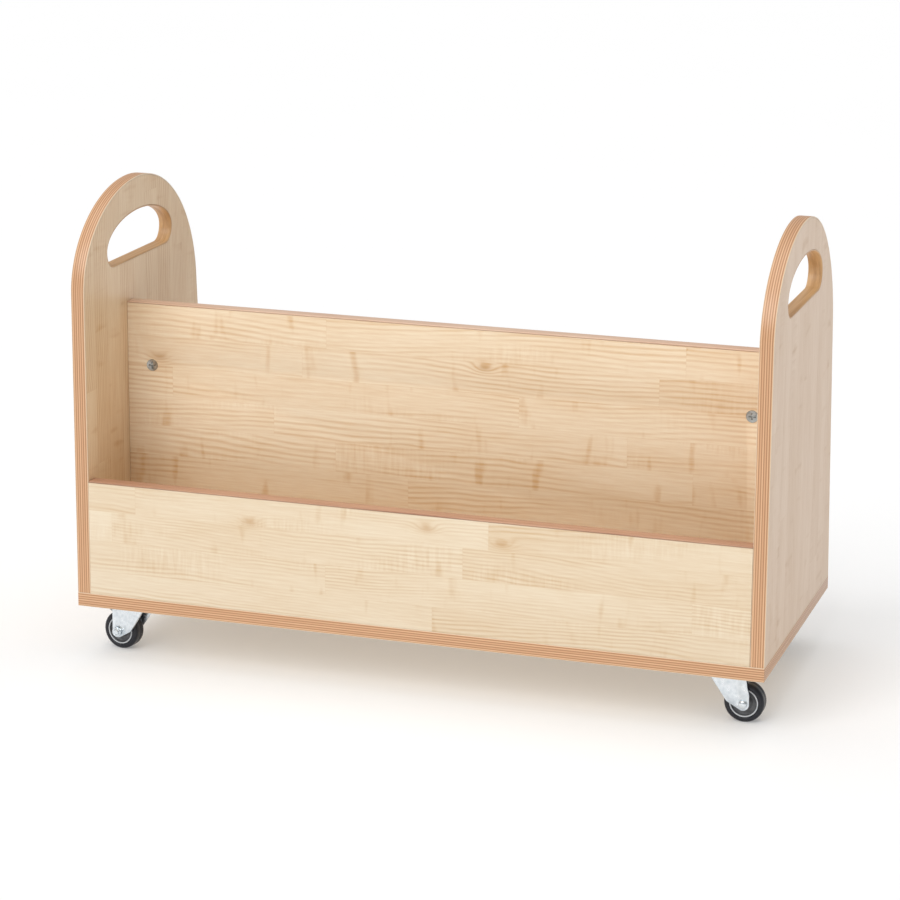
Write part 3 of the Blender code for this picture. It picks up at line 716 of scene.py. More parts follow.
    def _figure(self, tree: Tree, place: Socket) -> Socket:
        """Draw the patches of curl and the upright flecks that lie across the grain.

        Args:
            tree: The node tree.
            place: The coordinates along the grain of each stave.

        Returns:
            How much darker they make the print.
        """
        curl = noise(tree, place, (250.0, 26.0, 26.0), 1.0)
        patch = noise(tree, place, (5.0, 16.0, 4.0), 1.0)
        strokes = maths(tree, "MULTIPLY", maths(tree, "SUBTRACT", curl, 0.45), ramp(tree, patch, 0.54, 0.72))
        fleck = noise(tree, place, (62.0, 15.0, 15.0), 1.5)
        strokes = maths(tree, "MULTIPLY", strokes, 0.6)
        return maths(tree, "MULTIPLY_ADD", ramp(tree, fleck, 0.60, 0.82), 0.38, strokes)

    def _seams(self, tree: Tree, row_place: Socket, end_place: Socket) -> Socket:
        """Draw the hair lines where staves meet.

        Args:
            tree: The node tree.
            row_place: The place across the staves, in staves.
            end_place: The place along them, in staves.

        Returns:
            How much darker the seam makes the print.
        """
        seams = []
        for where, length in ((row_place, self.stave_width), (end_place, self.stave_length)):
            off = maths(tree, "ABSOLUTE", maths(tree, "SUBTRACT", maths(tree, "FRACT", where), 0.5))
            seams.append(ramp(tree, off, 0.5 - 0.9 * MM / length, 0.5 - 0.2 * MM / length))
        return maths(tree, "MULTIPLY", maths(tree, "MAXIMUM", *seams), 0.07)


@dataclass(frozen=True)
class StripedEdging:
    """Ply effect ABS edging, co-extruded in layers and scraped flush.

    Thin brown and tan layers run along the strip. The scraped corners show as a pale line, painted in as
    colour: partly the paler scraped plastic and partly a painted highlight where the rounded corner catches
    the light.
    """

    name: str
    layers: Axis
    along: Axis
    middle: Vector
    thickness: float
    base: str = "D5A67F"
    dark: str = "B27E55"
    light: str = "E6BD95"
    # Colour of the pale corner line: partly scraped plastic, partly a painted highlight.
    corner: str = "F1DDC0"
    dark_layers: float = 6.0

    def material(self) -> bpy.types.Material:
        """Build the edging's material."""
        material, tree, shader = new_material(self.name)
        place = unit_coordinates(tree, self.along, self.layers, self.middle)
        split = node(tree, "ShaderNodeSeparateXYZ", None, {0: place})
        level = maths(tree, "DIVIDE", split.outputs[1], self.thickness)
        sway = noise(tree, place, (5.0, 60.0, 5.0), 2.0)
        level = maths(tree, "MULTIPLY_ADD", maths(tree, "SUBTRACT", sway, 0.5), 0.035, level)
        turns = maths(tree, "MULTIPLY", level, self.dark_layers * math.tau)
        wave = maths(tree, "MULTIPLY_ADD", maths(tree, "SINE", turns), 0.5, 0.5)
        slow = maths(tree, "MULTIPLY", level, 0.5 * self.dark_layers * math.tau)
        slow_wave = maths(tree, "MULTIPLY_ADD", maths(tree, "COSINE", slow), 0.5, 0.5)
        streak = noise(tree, place, (9.0, 700.0, 9.0), 2.0)
        colour = blend(tree, ramp(tree, wave, 0.45, 0.95), self.base, self.dark)
        pale = maths(tree, "MULTIPLY", ramp(tree, wave, 0.40, 0.05), slow_wave)
        colour = blend(tree, pale, colour, self.light)
        streaks = maths(tree, "MULTIPLY", ramp(tree, streak, 0.45, 0.75), 0.35)
        colour = blend(tree, streaks, colour, self.dark)
        # Pale line along both faces: partly the scraped corner's own colour, partly a painted highlight of
        # the rounded corner.
        edge = ramp(tree, maths(tree, "ABSOLUTE", level), 0.445, 0.470)
        colour = blend(tree, maths(tree, "MULTIPLY", edge, 0.85), colour, self.corner)
        height = noise(tree, place, (30.0, 500.0, 30.0), 2.0)
        fill(tree, shader, {
            "Base Color": colour,
            "Roughness": maths(tree, "MULTIPLY_ADD", streak, 0.12, 0.30),
            "IOR": 1.53,
            "Normal": relief(tree, height, 0.08, 0.3 * MM)})
        return material


@dataclass(frozen=True)
class PlainEdging:
    """Maple effect ABS edging, extruded and lightly embossed, one tan tone with fine lines along it."""

    name: str
    along: Axis
    across: Axis
    base: str = "DAAF7C"
    dark: str = "BF905F"

    def material(self) -> bpy.types.Material:
        """Build the edging's material."""
        material, tree, shader = new_material(self.name)
        place = unit_coordinates(tree, self.along, self.across)
        streak = noise(tree, place, (7.0, 330.0, 40.0), 3.0, 0.6)
        cloud = noise(tree, place, (6.0, 30.0, 20.0), 2.0)
        lines = ramp(tree, streak, 0.3, 0.8)
        amount = maths(tree, "MULTIPLY_ADD", maths(tree, "SUBTRACT", cloud, 0.5), 0.8, lines)
        fill(tree, shader, {
            "Base Color": blend(tree, amount, self.base, self.dark),
            "Roughness": maths(tree, "MULTIPLY_ADD", streak, 0.15, 0.33),
            "IOR": 1.53,
            "Normal": relief(tree, streak, 0.10, 0.3 * MM)})
        return material


@dataclass(frozen=True)
class BareBeech:
    """Turned beech, unfinished, with the short dark flecks of its rays."""

    name: str = "bare beech"
    base: str = "D9B184"
    fleck: str = "A9794C"

    def material(self) -> bpy.types.Material:
        """Build the wood's material."""
        material, tree, shader = new_material(self.name)
        place = unit_coordinates(tree)
        flecks = noise(tree, place, (260.0, 1400.0, 1400.0), 2.0)
        fill(tree, shader, {
            "Base Color": blend(tree, ramp(tree, flecks, 0.52, 0.72), self.base, self.fleck),
            "Roughness": 0.72,
            "Normal": relief(tree, flecks, 0.2)})
        return material


@dataclass(frozen=True)
class ZincPlate:
    """Bright zinc plate with a blue passivate on pressed steel, faintly mottled and brushed by tumbling."""

    name: str
    base: str = "E8EEF3"
    mottle: str = "D8E0E6"
    roughness: float = 0.30
    grit: float = 0.9 * MM

    def material(self) -> bpy.types.Material:
        """Build the plate's material."""
        material, tree, shader = new_material(self.name)
        place = unit_coordinates(tree)
        spangle = noise(tree, place, 1.0 / (6.0 * self.grit), 3.0, 0.6)
        scratch = noise(tree, stretched(tree, place, 1.0, 1.0, 0.12), 1.0 / self.grit, 2.0)
        fill(tree, shader, {
            "Base Color": blend(tree, ramp(tree, spangle, 0.35, 0.75), self.base, self.mottle),
            "Metallic": 1.0,
            "Roughness": maths(tree, "MULTIPLY_ADD", spangle, 0.22, self.roughness - 0.11),
            "Normal": relief(tree, scratch, 0.10)})
        return material


@dataclass(frozen=True)
class GreyNylon:
    """Injection moulded polyamide, dark grey and dull, with the faint swirl of its flow."""

    name: str = "moulded grey nylon"
    base: str = "5E5F62"
    flow: str = "747578"

    def material(self) -> bpy.types.Material:
        """Build the plastic's material."""
        material, tree, shader = new_material(self.name)
        place = unit_coordinates(tree)
        swirl = noise(tree, place, 1.0 / (9.0 * MM), 3.0, 0.6)
        grain = noise(tree, place, 1.0 / (0.7 * MM), 1.0)
        fill(tree, shader, {
            "Base Color": blend(tree, ramp(tree, swirl, 0.3, 0.7), self.base, self.flow),
            "Roughness": maths(tree, "MULTIPLY_ADD", grain, 0.14, 0.34),
            "IOR": 1.53,
            "Normal": relief(tree, grain, 0.12)})
        return material


@dataclass(frozen=True)
class TyreRubber:
    """Thermoplastic rubber tread, blue-black, smooth from its mould with a little dust on it."""

    name: str = "moulded dark rubber"
    base: str = "0E101B"
    dust: str = "1F212C"

    def material(self) -> bpy.types.Material:
        """Build the rubber's material."""
        material, tree, shader = new_material(self.name)
        place = unit_coordinates(tree)
        dust = noise(tree, place, 1.0 / (5.0 * MM), 3.0, 0.7)
        grain = noise(tree, place, 1.0 / (0.6 * MM), 1.0)
        fill(tree, shader, {
            "Base Color": blend(tree, ramp(tree, dust, 0.45, 0.8), self.base, self.dust),
            "Roughness": maths(tree, "MULTIPLY_ADD", dust, 0.25, 0.24),
            "IOR": 1.50,
            "Normal": relief(tree, grain, 0.10)})
        return material


@dataclass
class Studio:
    """The pale floor, the soft lights and the camera."""

    camera_place: tuple[float, float, float] = (1.1480, -3.5410, 1.2912)
    azimuth: float = 18.136
    elevation: float = 13.337
    roll: float = 0.315
    focal_pixels: float = 2995.0
    frame_pixels: float = 900.0
    shift_pixels: float = -104.9
    sensor: float = 36.0
    floor_size: float = 60.0
    floor_colour: str = "E4E4E4"
    floor_patch: str = "E0E0E0"
    floor_glow: float = 0.22
    world_strength: float = 0.384

    def make_camera(self) -> None:
        """Put the camera where the photograph was taken from."""
        azimuth, elevation = math.radians(self.azimuth), math.radians(self.elevation)
        level = math.cos(elevation)
        ahead = Vector((-math.sin(azimuth) * level, math.cos(azimuth) * level, -math.sin(elevation)))
        right = ahead.cross(Vector((0.0, 0.0, 1.0))).normalized()
        up = right.cross(ahead)
        lean = Matrix.Rotation(-math.radians(self.roll), 3, ahead)
        turn = (lean @ Matrix((right, up, -ahead)).transposed()).to_4x4()
        bpy.ops.object.camera_add()
        camera = bpy.context.active_object
        camera.matrix_world = Matrix.Translation(self.camera_place) @ turn
        camera.data.sensor_width = self.sensor
        camera.data.lens = self.focal_pixels / self.frame_pixels * self.sensor
        camera.data.shift_y = self.shift_pixels / self.frame_pixels
        camera.data.clip_end = 200.0
        bpy.context.scene.camera = camera

    def make_floor(self) -> None:
        """Lay a wide pale floor under the unit, lit a little from below as a light table is."""
        bpy.ops.mesh.primitive_plane_add(size=self.floor_size)
        floor = settled("floor")
        material, tree, shader = new_material("matt white studio floor")
        place = unit_coordinates(tree)
        tone = maths(tree, "MULTIPLY", noise(tree, place, 1.5, 2.0), 0.3)
        fill(tree, shader, {
            "Base Color": blend(tree, tone, self.floor_colour, self.floor_patch),
            "Roughness": 0.75,
            "Emission Color": linear("FFFFFF"),
            "Emission Strength": self.floor_glow})
        floor.data.materials.append(material)

    def make_light(self, name: str, source: Sequence[float], spread: float, share: float) -> None:
        """Add one wide, even, soft light from far away.

        Args:
            name: The light's name.
            source: The direction that it comes from.
            spread: How wide it looks from the unit, in degrees.
            share: How bright it makes a white surface that faces it.
        """
        bpy.ops.object.light_add(type="SUN", location=source)
        light = bpy.context.active_object
        light.name = name
        light.data.angle = math.radians(spread)
        light.data.energy = share * math.pi
        light.rotation_euler = (-Vector(source)).to_track_quat("-Z", "Y").to_euler()

    def build(self) -> None:
        """Build the whole studio."""
        self.make_camera()
        self.make_floor()
        self.make_light("key_light", (-0.22, -0.70, 0.66), 40.0, 0.47)
        self.make_light("top_light", (0.0, 0.05, 1.0), 60.0, 0.34)
        world = bpy.context.scene.world or bpy.data.worlds.new("studio")
        bpy.context.scene.world = world
        world.use_nodes = True
        background = world.node_tree.nodes["Background"]
        fill(world.node_tree, background, {0: linear("FFFFFF"), 1: self.world_strength})
        bpy.context.scene.view_settings.view_transform = "Standard"


@dataclass
class BoardSizes:
    """Sizes that every board shares."""

    edge_band: float = 2.0 * MM
    gap: float = 0.3 * MM
    corner_radius: float = 0.9 * MM
    board_arris: float = 0.25 * MM
    cam_bore: float = 15.6 * MM
    cam_bore_depth: float = 12.8 * MM
    bolt_bore: float = 6.8 * MM
    bolt_hole: float = 5.6 * MM
    bolt_hole_depth: float = 11.3 * MM
    dowel_bore: float = 8.6 * MM
    dowel_depth: float = 10.3 * MM
    screw_head: float = 10.0 * MM
    screw_shank: float = 5.0 * MM
    screw_length: float = 48.0 * MM
    screw_sink: float = 3.0 * MM
    screw_pitch: float = 2.2 * MM
    screw_point: float = 3.0 * MM
    screw_recess: tuple[float, float, float] = (5.6 * MM, 1.1 * MM, 2.4 * MM)
    end_screw_spacing: float = 130.0 * MM
    panel_screw_spacing: float = 300.0 * MM
    pilot_bore: float = 5.1 * MM
    pilot_depth: float = 14.3 * MM
    plate_hole_spacing: float = 45.0 * MM


SIZES = BoardSizes()
# The two end panels share one decor, but their tones differ as painted light. The left is warmer, painted
# bounce light from the wood onto its inner face. The right is pinker, painted shade on its outer face.
END_TONES_PAINTED_BOUNCE_AND_SHADE = {Side.LEFT: ("F6DEBC", "D3A876"), Side.RIGHT: ("EED5BD", "CEA981")}
CROSS_PANELS = ("front", "divider", "rear")
CORNERS = ("front_left", "front_right", "rear_left", "rear_right")


def base_screw_places() -> list[Vector]:
    """Work out where the assembly screws come up through the base.

    Returns:
        The middle of each screw's bore on the underside of the base.
    """
    base = Extent.of("base_edging")
    places = []
    for side in Side:
        end = Extent.of(f"{side.word}_end_panel").middle
        places += [Vector((end.x, step * SIZES.end_screw_spacing, base.low.z)) for step in (-1, 0, 1)]
        for name in CROSS_PANELS:
            panel = Extent.of(f"{name}_panel").middle
            places.append(Vector((side.value * SIZES.panel_screw_spacing / 2, panel.y, base.low.z)))
    return places


def base_screw_bores() -> Piece:
    """Model the countersunk bores of the assembly screws as one cutter.

    Returns:
        The cutter.
    """
    head, shank = SIZES.screw_head / 2 + SIZES.gap, SIZES.screw_shank / 2 + SIZES.gap
    top = SIZES.screw_sink + SIZES.screw_length + SIZES.gap
    profile = [
        (0.0, top), (shank, top), (shank, SIZES.screw_sink + head - shank), (head, SIZES.screw_sink),
        (head, -SIZES.gap), (0.0, -SIZES.gap)]
    master = turned("screw_bore", profile, 40)
    bores = [
        turn_and_move(twin(master, "screw_bore"), Matrix.Translation(place)) for place in base_screw_places()]
    bpy.data.objects.remove(master)
    return united(bores)


@dataclass
class BaseBoard:
    """The base board, bored for its screws, with four strips of striped edging."""

    board: Extent
    edging: Extent

    def build(self) -> None:
        """Model and dress the board and its edging."""
        origin = Vector((0.31, 0.07, 0.0))
        finish = MapleMelamine("maple print melamine, base", Axis.X, Axis.Y, origin)
        base = block("base_board", self.board.low, self.board.high)
        boolean(base, [base_screw_bores(), self.pilot_bores()])
        dress(softened(base, SIZES.board_arris), finish.material(), Slot.BOARD, "unit", "base_panel")
        for name, long_way in (("front", True), ("rear", True), ("left", False), ("right", False)):
            self.strip(name, long_way)

    def pilot_bores(self) -> Piece:
        """Model the bores of the castors' mounting screws as one cutter."""
        bores = []
        for corner in CORNERS:
            centre = Extent.of(f"{corner}_mounting_plate").middle
            for x in (-0.5, 0.5):
                for y in (-0.5, 0.5):
                    start = Vector((
                        centre.x + x * SIZES.plate_hole_spacing, centre.y + y * SIZES.plate_hole_spacing,
                        self.board.low.z - SIZES.gap))
                    end = start + Vector((0.0, 0.0, SIZES.pilot_depth + SIZES.gap))
                    bores.append(rod("pilot_bore", start, end, SIZES.pilot_bore, 24))
        return united(bores)

    def strip(self, name: str, long_way: bool) -> None:
        """Model and dress one strip of edging.

        Args:
            name: The edge that it closes.
            long_way: Whether it runs along X, over the ends of the short strips.
        """
        low, high = self.edging.low.copy(), self.edging.high.copy()
        thickness = SIZES.edge_band - SIZES.gap
        hair = 0.1 * MM
        if name == "front":
            high.y = low.y + thickness
        elif name == "rear":
            low.y = high.y - thickness
        else:
            low.y += thickness + hair
            high.y -= thickness + hair
            if name == "left":
                high.x = low.x + thickness
            else:
                low.x = high.x - thickness
        strip = block(f"base_edge_strip_{name}", low, high)
        middle = Vector((0.0, 0.0, self.edging.middle.z))
        along = Axis.X if long_way else Axis.Y
        finish = StripedEdging(f"ply effect edging, base {name}", Axis.Z, along, middle, self.edging.size.z)
        softened(strip, SIZES.corner_radius * 0.6, 3)
        dress(strip, finish.material(), Slot.STRIPED, "unit", "base_edging")


@dataclass
class EndPanel:
    """An arched end panel with a handle cut-out, its edging and the cut-out's lining."""

    side: Side
    arch_rise: float = 125.0 * MM
    rear_arch_rise: float = 180.0 * MM
    apex_setback: float = 175.0 * MM
    arch_depth: float = 361.0 * MM
    handle_corner: float = 20.0 * MM
    arch_steps: int = 160
    handle_steps: int = 96
    corner_steps: int = 12

    def __post_init__(self) -> None:
        """Measure the panel in the frame."""
        self.edging = Extent.of(f"{self.side.word}_end_edging")
        self.lining = Extent.of(f"{self.side.word}_handle_lining")

    def arched_block(self, name: str, inset: float, drop: float = 0.0, grow: float = 0.0) -> Piece:
        """Model the panel's outer shape: an arch of two unlike quarter ellipses with a block under it.

        The rear edge is straight and leans in from its foot until it touches the rear quarter.

        Args:
            name: The piece's name.
            inset: How far its outline lies inside the edging's outer face.
            drop: How far it reaches below the panel's foot.
            grow: How much further than the panel it reaches on each face.

        Returns:
            The object.
        """
        edging = self.edging
        hair = 0.01 * MM
        apex = edging.low.y + self.apex_setback
        top = edging.high.z - inset
        spring = edging.high.z - self.rear_arch_rise
        rise, rear_reach = self.rear_arch_rise - inset, self.arch_depth - self.apex_setback - inset
        bpy.ops.mesh.primitive_cylinder_add(
            vertices=self.arch_steps, radius=1.0, depth=1.0, location=(edging.middle.x, apex, spring),
            rotation=(0.0, math.pi / 2, 0.0), scale=(rise, rear_reach, edging.size.x + 2 * grow))
        piece = settled(name)
        foot = edging.low.z - drop
        self.pull_down(piece, spring, foot)

        across = (edging.high.y - inset - apex) / rear_reach
        down = (edging.low.z - spring) / rise
        touch = math.atan2(down, across) + math.acos(1.0 / math.hypot(across, down))
        touch_y, touch_z = apex + rear_reach * math.cos(touch), spring + rise * math.sin(touch)
        slope = (edging.high.y - inset - touch_y) / (touch_z - edging.low.z)
        foot_shift = touch_y + slope * (touch_z - foot) - (apex + rear_reach)
        with editing(piece):
            pick(piece, Part.EDGE, lambda edge: runs_along(edge, Axis.X) and all(
                vert.co.y > apex + hair and spring - hair < vert.co.z < touch_z for vert in edge.verts))
            bpy.ops.mesh.dissolve_edges(use_verts=True)
            pick(piece, Part.VERT, lambda vert: vert.co.y > apex + hair and vert.co.z < foot + hair)
            bpy.ops.transform.translate(value=(0.0, foot_shift, 0.0))
            pick(piece, Part.VERT, lambda vert: vert.co.y < apex - hair)
            deeper = (self.apex_setback - inset) / rear_reach
            bpy.ops.transform.resize(value=(1.0, deeper, 1.0), center_override=(0.0, apex, top))
            pick(piece, Part.VERT, lambda vert: vert.co.y < apex - hair and vert.co.z > spring - hair)
            flatter = (self.arch_rise - inset) / rise
            bpy.ops.transform.resize(value=(1.0, 1.0, flatter), center_override=(0.0, apex, top))
        return piece

    def pull_down(self, piece: Piece, spring: float, foot: float) -> None:
        """Cut a piece off at a level and pull the cut face straight down.

        Args:
            piece: The piece.
            spring: The level of the cut.
            foot: The level that the face is pulled to.
        """
        with editing(piece):
            select_whole()
            bpy.ops.mesh.bisect(
                plane_co=(0.0, 0.0, spring), plane_no=(0.0, 0.0, 1.0), clear_inner=True, use_fill=True,
                threshold=0.01 * MM)
            pick(piece, Part.FACE,
                 lambda face: face.normal.z < -0.99 and abs(face.calc_center_median().z - spring) < MM)
            bpy.ops.mesh.extrude_region_move(TRANSFORM_OT_translate={"value": (0.0, 0.0, foot - spring)})
            select_whole()
            bpy.ops.mesh.normals_make_consistent(inside=False)
            bpy.ops.mesh.dissolve_limited(angle_limit=math.radians(0.1))

    def handle_block(self, name: str, inset: float, grow: float) -> Piece:
        """Model the shape of the handle cut-out: flat below with round corners, arched above.

        Args:
            name: The piece's name.
            inset: How far it lies inside the lining's outer face.
            grow: How much further than the panel it reaches on each face.

        Returns:
            The object.
        """
        centre = self.lining.middle
        half = self.lining.size.y / 2 - inset
        floor = self.lining.low.z + inset
        radius = self.handle_corner + SIZES.edge_band - SIZES.gap - inset
        spring = floor + radius
        rise = self.lining.high.z - inset - spring
        bpy.ops.mesh.primitive_cylinder_add(
            vertices=self.handle_steps, radius=1.0, depth=1.0, location=(centre.x, centre.y, spring),
            rotation=(0.0, math.pi / 2, 0.0), scale=(rise, half, self.edging.size.x + 2 * grow))
        piece = settled(name)
        self.pull_down(piece, spring, floor)
        with editing(piece):
            pick(piece, Part.EDGE, lambda edge: all(abs(v.co.z - floor) < 0.01 * MM for v in edge.verts)
                 and abs(edge.verts[0].co.y - edge.verts[1].co.y) < 0.01 * MM)
            bpy.ops.mesh.bevel(offset=radius, segments=self.corner_steps, affect="EDGES", clamp_overlap=False)
            select_whole()
            bpy.ops.mesh.remove_doubles(threshold=0.005 * MM)
        return piece

    def side_bores(self) -> list[Piece]:
        """Model the bores for the bolts and dowels that enter this panel."""
        face = self.edging.inner_x(self.side)
        sign = self.side.value
        bores = []
        for name, _, place in fitting_places(self.side):
            is_cam = "cam" in name
            depth = SIZES.bolt_hole_depth if is_cam else SIZES.dowel_depth
            diameter = SIZES.bolt_hole if is_cam else SIZES.dowel_bore
            start = (face - sign * SIZES.gap, place.y, place.z)
            bores.append(rod("side_bore", start, (face + sign * depth, place.y, place.z), diameter, 32))
        return [united(bores)]

    def build(self) -> None:
        """Model and dress the panel, its edging and its lining."""
        word = self.side.word
        through = 5.0 * MM
        skin = SIZES.edge_band - SIZES.gap
        board = self.arched_block(f"{word}_end_board", SIZES.edge_band)
        handle = self.handle_block("cutter", -SIZES.gap, through)
        boolean(board, [handle, *self.side_bores(), base_screw_bores()])
        origin = Vector((0.0, 0.053 + 0.017 * self.side.value, 0.18))
        # Light and dark tones of this end's decor, tinted with painted bounce light (left end) or painted
        # shade (right end).
        light, dark = END_TONES_PAINTED_BOUNCE_AND_SHADE[self.side]
        finish = MapleMelamine(
            f"maple print melamine, {word} end", Axis.Z, Axis.Y, origin, light=light, dark=dark)
        apply_modifier(board, "TRIANGULATE", min_vertices=5)
        dress(shaded(board), finish.material(), Slot.BOARD, "unit", f"{word}_end_panel")

        middle = Vector((self.edging.middle.x, 0.0, 0.0))
        strip = self.arched_block(f"{word}_end_edge_strip", 0.0)
        boolean(strip, [self.arched_block("cutter", skin, MM, through)])
        striped = StripedEdging(f"ply effect edging, {word} end", Axis.X, Axis.Z, middle, self.edging.size.x)
        self.round_arris(strip, self.edging.middle, False)
        dress(strip, striped.material(), Slot.STRIPED, "unit", f"{word}_end_edging")

        lining = self.handle_block(f"{word}_handle_edge", 0.0, 0.0)
        boolean(lining, [self.handle_block("cutter", skin, through)])
        self.round_arris(lining, self.lining.middle, True)
        plain = PlainEdging(f"maple effect edging, {word} handle", Axis.Y, Axis.X)
        dress(lining, plain.material(), Slot.PLAIN, "unit", f"{word}_handle_lining")

    def round_arris(self, strip: Piece, middle: Vector, inner: bool) -> None:
        """Round the two long corners on the bare side of a curved strip and shade it smooth.

        Args:
            strip: The strip.
            middle: The middle of the ring that the strip makes.
            inner: Whether its bare side faces the middle.
        """
        def is_bare_corner(edge: bmesh.types.BMEdge) -> bool:
            """Tell whether an edge joins the strip's flat side to its bare wall."""
            walls = [face for face in edge.link_faces if abs(face.normal.x) < 0.5]
            if len(walls) != 1:
                return False
            inward = walls[0].normal.dot(middle - walls[0].calc_center_median()) > 0.0
            return inward is inner

        with editing(strip):
            pick(strip, Part.EDGE, is_bare_corner)
            bpy.ops.mesh.bevel(offset=SIZES.corner_radius, segments=3, affect="EDGES")
        shaded(strip)


def fitting_places(side: Side) -> list[tuple[str, str, Vector]]:
    """Find the cam locks and dowels that enter one end panel.

    Args:
        side: The end panel's side.

    Returns:
        For each, its node, its panel's name, and the middle of its box.
    """
    found = []
    for name in sorted(frame["nodes"]):
        is_fitting = "_cam_" in name or "_dowel_" in name
        if is_fitting and side.word in name:
            found.append((name, name.split("_")[0], Extent.of(name).middle))
    return found


@dataclass
class CrossPanel:
    """A panel that stands between the ends, bored for its fittings, with a strip along its top."""

    name: str
    faces_rear: bool
    decor: MapleMelamine
    edging: PlainEdging

    def build(self) -> None:
        """Model and dress the panel and its edging."""
        extent = Extent.of(f"{self.name}_panel")
        board = block(f"{self.name}_board", extent.low, extent.high)
        boolean(board, [*self.fitting_bores(extent), base_screw_bores()])
        softened(board, SIZES.board_arris)
        dress(board, self.decor.material(), Slot.BOARD, "unit", f"{self.name}_panel")
        top = Extent.of(f"{self.name}_top_edging")
        strip = softened(block(f"{self.name}_top_edge", top.low, top.high), SIZES.corner_radius * 0.8, 3)
        dress(strip, self.edging.material(), Slot.PLAIN, "unit", f"{self.name}_top_edging")

    def fitting_bores(self, extent: Extent) -> list[Piece]:
        """Model the bores for this panel's cam locks, bolts and dowels.

        Args:
            extent: The panel's box.

        Returns:
            The cutters, one for the cams' pockets and one for the rest.
        """
        face = extent.high.y if self.faces_rear else extent.low.y
        out = 1.0 if self.faces_rear else -1.0
        pockets, bores = [], []
        for side in Side:
            end = extent.high.x if side is Side.RIGHT else extent.low.x
            for name, panel, place in fitting_places(side):
                if panel != self.name:
                    continue
                outside = (end + side.value * SIZES.gap, extent.middle.y, place.z)
                if "_cam_" in name:
                    centre = cam_centre(name, side)
                    pockets.append(rod(
                        "pocket", (centre.x, face + out * SIZES.gap, place.z),
                        (centre.x, face - out * SIZES.cam_bore_depth, place.z), SIZES.cam_bore, 64))
                    start = (centre.x, extent.middle.y, place.z)
                    bores.append(rod("bore", start, outside, SIZES.bolt_bore, 32))
                else:
                    inner = Extent.of(name).inner_x(side)
                    start = (inner - side.value * SIZES.gap, extent.middle.y, place.z)
                    bores.append(rod("bore", start, outside, SIZES.dowel_bore, 32))
        return [united(pockets), united(bores)]


def cam_centre(name: str, side: Side) -> Vector:
    """Find the middle of a cam lock's disc in the mid plane of its panel.

    Args:
        name: The cam lock's node.
        side: The end of the panel that it holds.

    Returns:
        The point.
    """
    box = Extent.of(name)
    return Vector((box.inner_x(side) + side.value * CamLock().diameter / 2, box.middle.y, box.middle.z))


@dataclass
class CamLock:
    """A die-cast cam with a cross recess and a pointer, and the bolt that it draws in."""

    diameter: float = 15.0 * MM
    depth: float = 12.5 * MM
    rim: float = 0.8 * MM
    rim_height: float = 0.35 * MM
    slot_width: float = 2.2 * MM
    slot_length: float = 9.2 * MM
    slot_depth: float = 3.0 * MM
    inset: float = 34.0 * MM
    gap: float = 0.3 * MM
    board: float = 18.0 * MM
    collar: float = 6.2 * MM
    stem: float = 4.2 * MM
    shank: float = 5.0 * MM
    embed: float = 11.0 * MM
    pointer_reach: float = 5.4 * MM
    pointer_radius: float = 1.1 * MM
    pointer_depth: float = 0.8 * MM
    head_length: float = 2.0 * MM
    neck_start: float = 2.4 * MM
    neck_end: float = 4.5 * MM
    shoulder: float = 5.0 * MM
    collar_length: float = 3.0 * MM
    rib_pitch: float = 1.2 * MM

    def cam(self) -> Piece:
        """Model the cam along Z, its face up at zero, its mouth towards +X."""
        cam = rod("cam_master", (0.0, 0.0, -self.depth), (0.0, 0.0, 0.0), self.diameter, 64)
        with editing(cam):
            pick(cam, Part.FACE, lambda face: face.normal.z > 0.9)
            bpy.ops.mesh.inset(thickness=self.rim)
            bpy.ops.transform.translate(value=(0.0, 0.0, -self.rim_height))
        cuts = cross_recess(0.0, 1.0, self.slot_length, self.slot_width, self.slot_depth)
        bpy.ops.mesh.primitive_cylinder_add(
            vertices=3, radius=self.pointer_radius, depth=self.pointer_depth,
            location=(self.pointer_reach, 0.0, -self.rim_height), rotation=(0.0, 0.0, -math.pi / 2))
        cuts.append(settled("cutter"))
        level = -self.board / 2
        cuts.append(rod("cutter", (0.0, 0.0, level), (self.diameter, 0.0, level), self.bore, 32))
        return softened(boolean(cam, cuts), 0.15 * MM, 2)

    @property
    def bore(self) -> float:
        """The width of the mouth that the bolt's head enters."""
        return self.stem + 2 * self.gap

    def bolt(self) -> Piece:
        """Model the bolt along +X from the cam's mouth, with ribs where it bites into the end panel."""
        collar, stem, shank = self.collar / 2, self.stem / 2, self.shank / 2
        neck, reach, pitch = stem * 0.6, self.inset - self.gap, self.rib_pitch
        ribs = []
        for i in range(int(self.embed / pitch) - 1):
            level = -(i + 0.5) * pitch
            ribs += [(shank * 0.8, level), (shank, level - pitch / 3)]
        profile = [
            (0.0, reach), (stem, reach), (stem, reach - self.head_length), (neck, reach - self.neck_start),
            (neck, reach - self.neck_end), (stem, reach - self.shoulder), (stem, self.collar_length + MM),
            (collar, self.collar_length), (collar, 0.0), *ribs, (shank * 0.3, -self.embed),
            (0.0, -self.embed)]
        bolt = softened(turned("bolt_master", profile, 32), 0.08 * MM, 1)
        place = Matrix.Translation((reach, 0.0, -self.board / 2)) @ Matrix.Rotation(-math.pi / 2, 4, "Y")
        return turn_and_move(bolt, place)


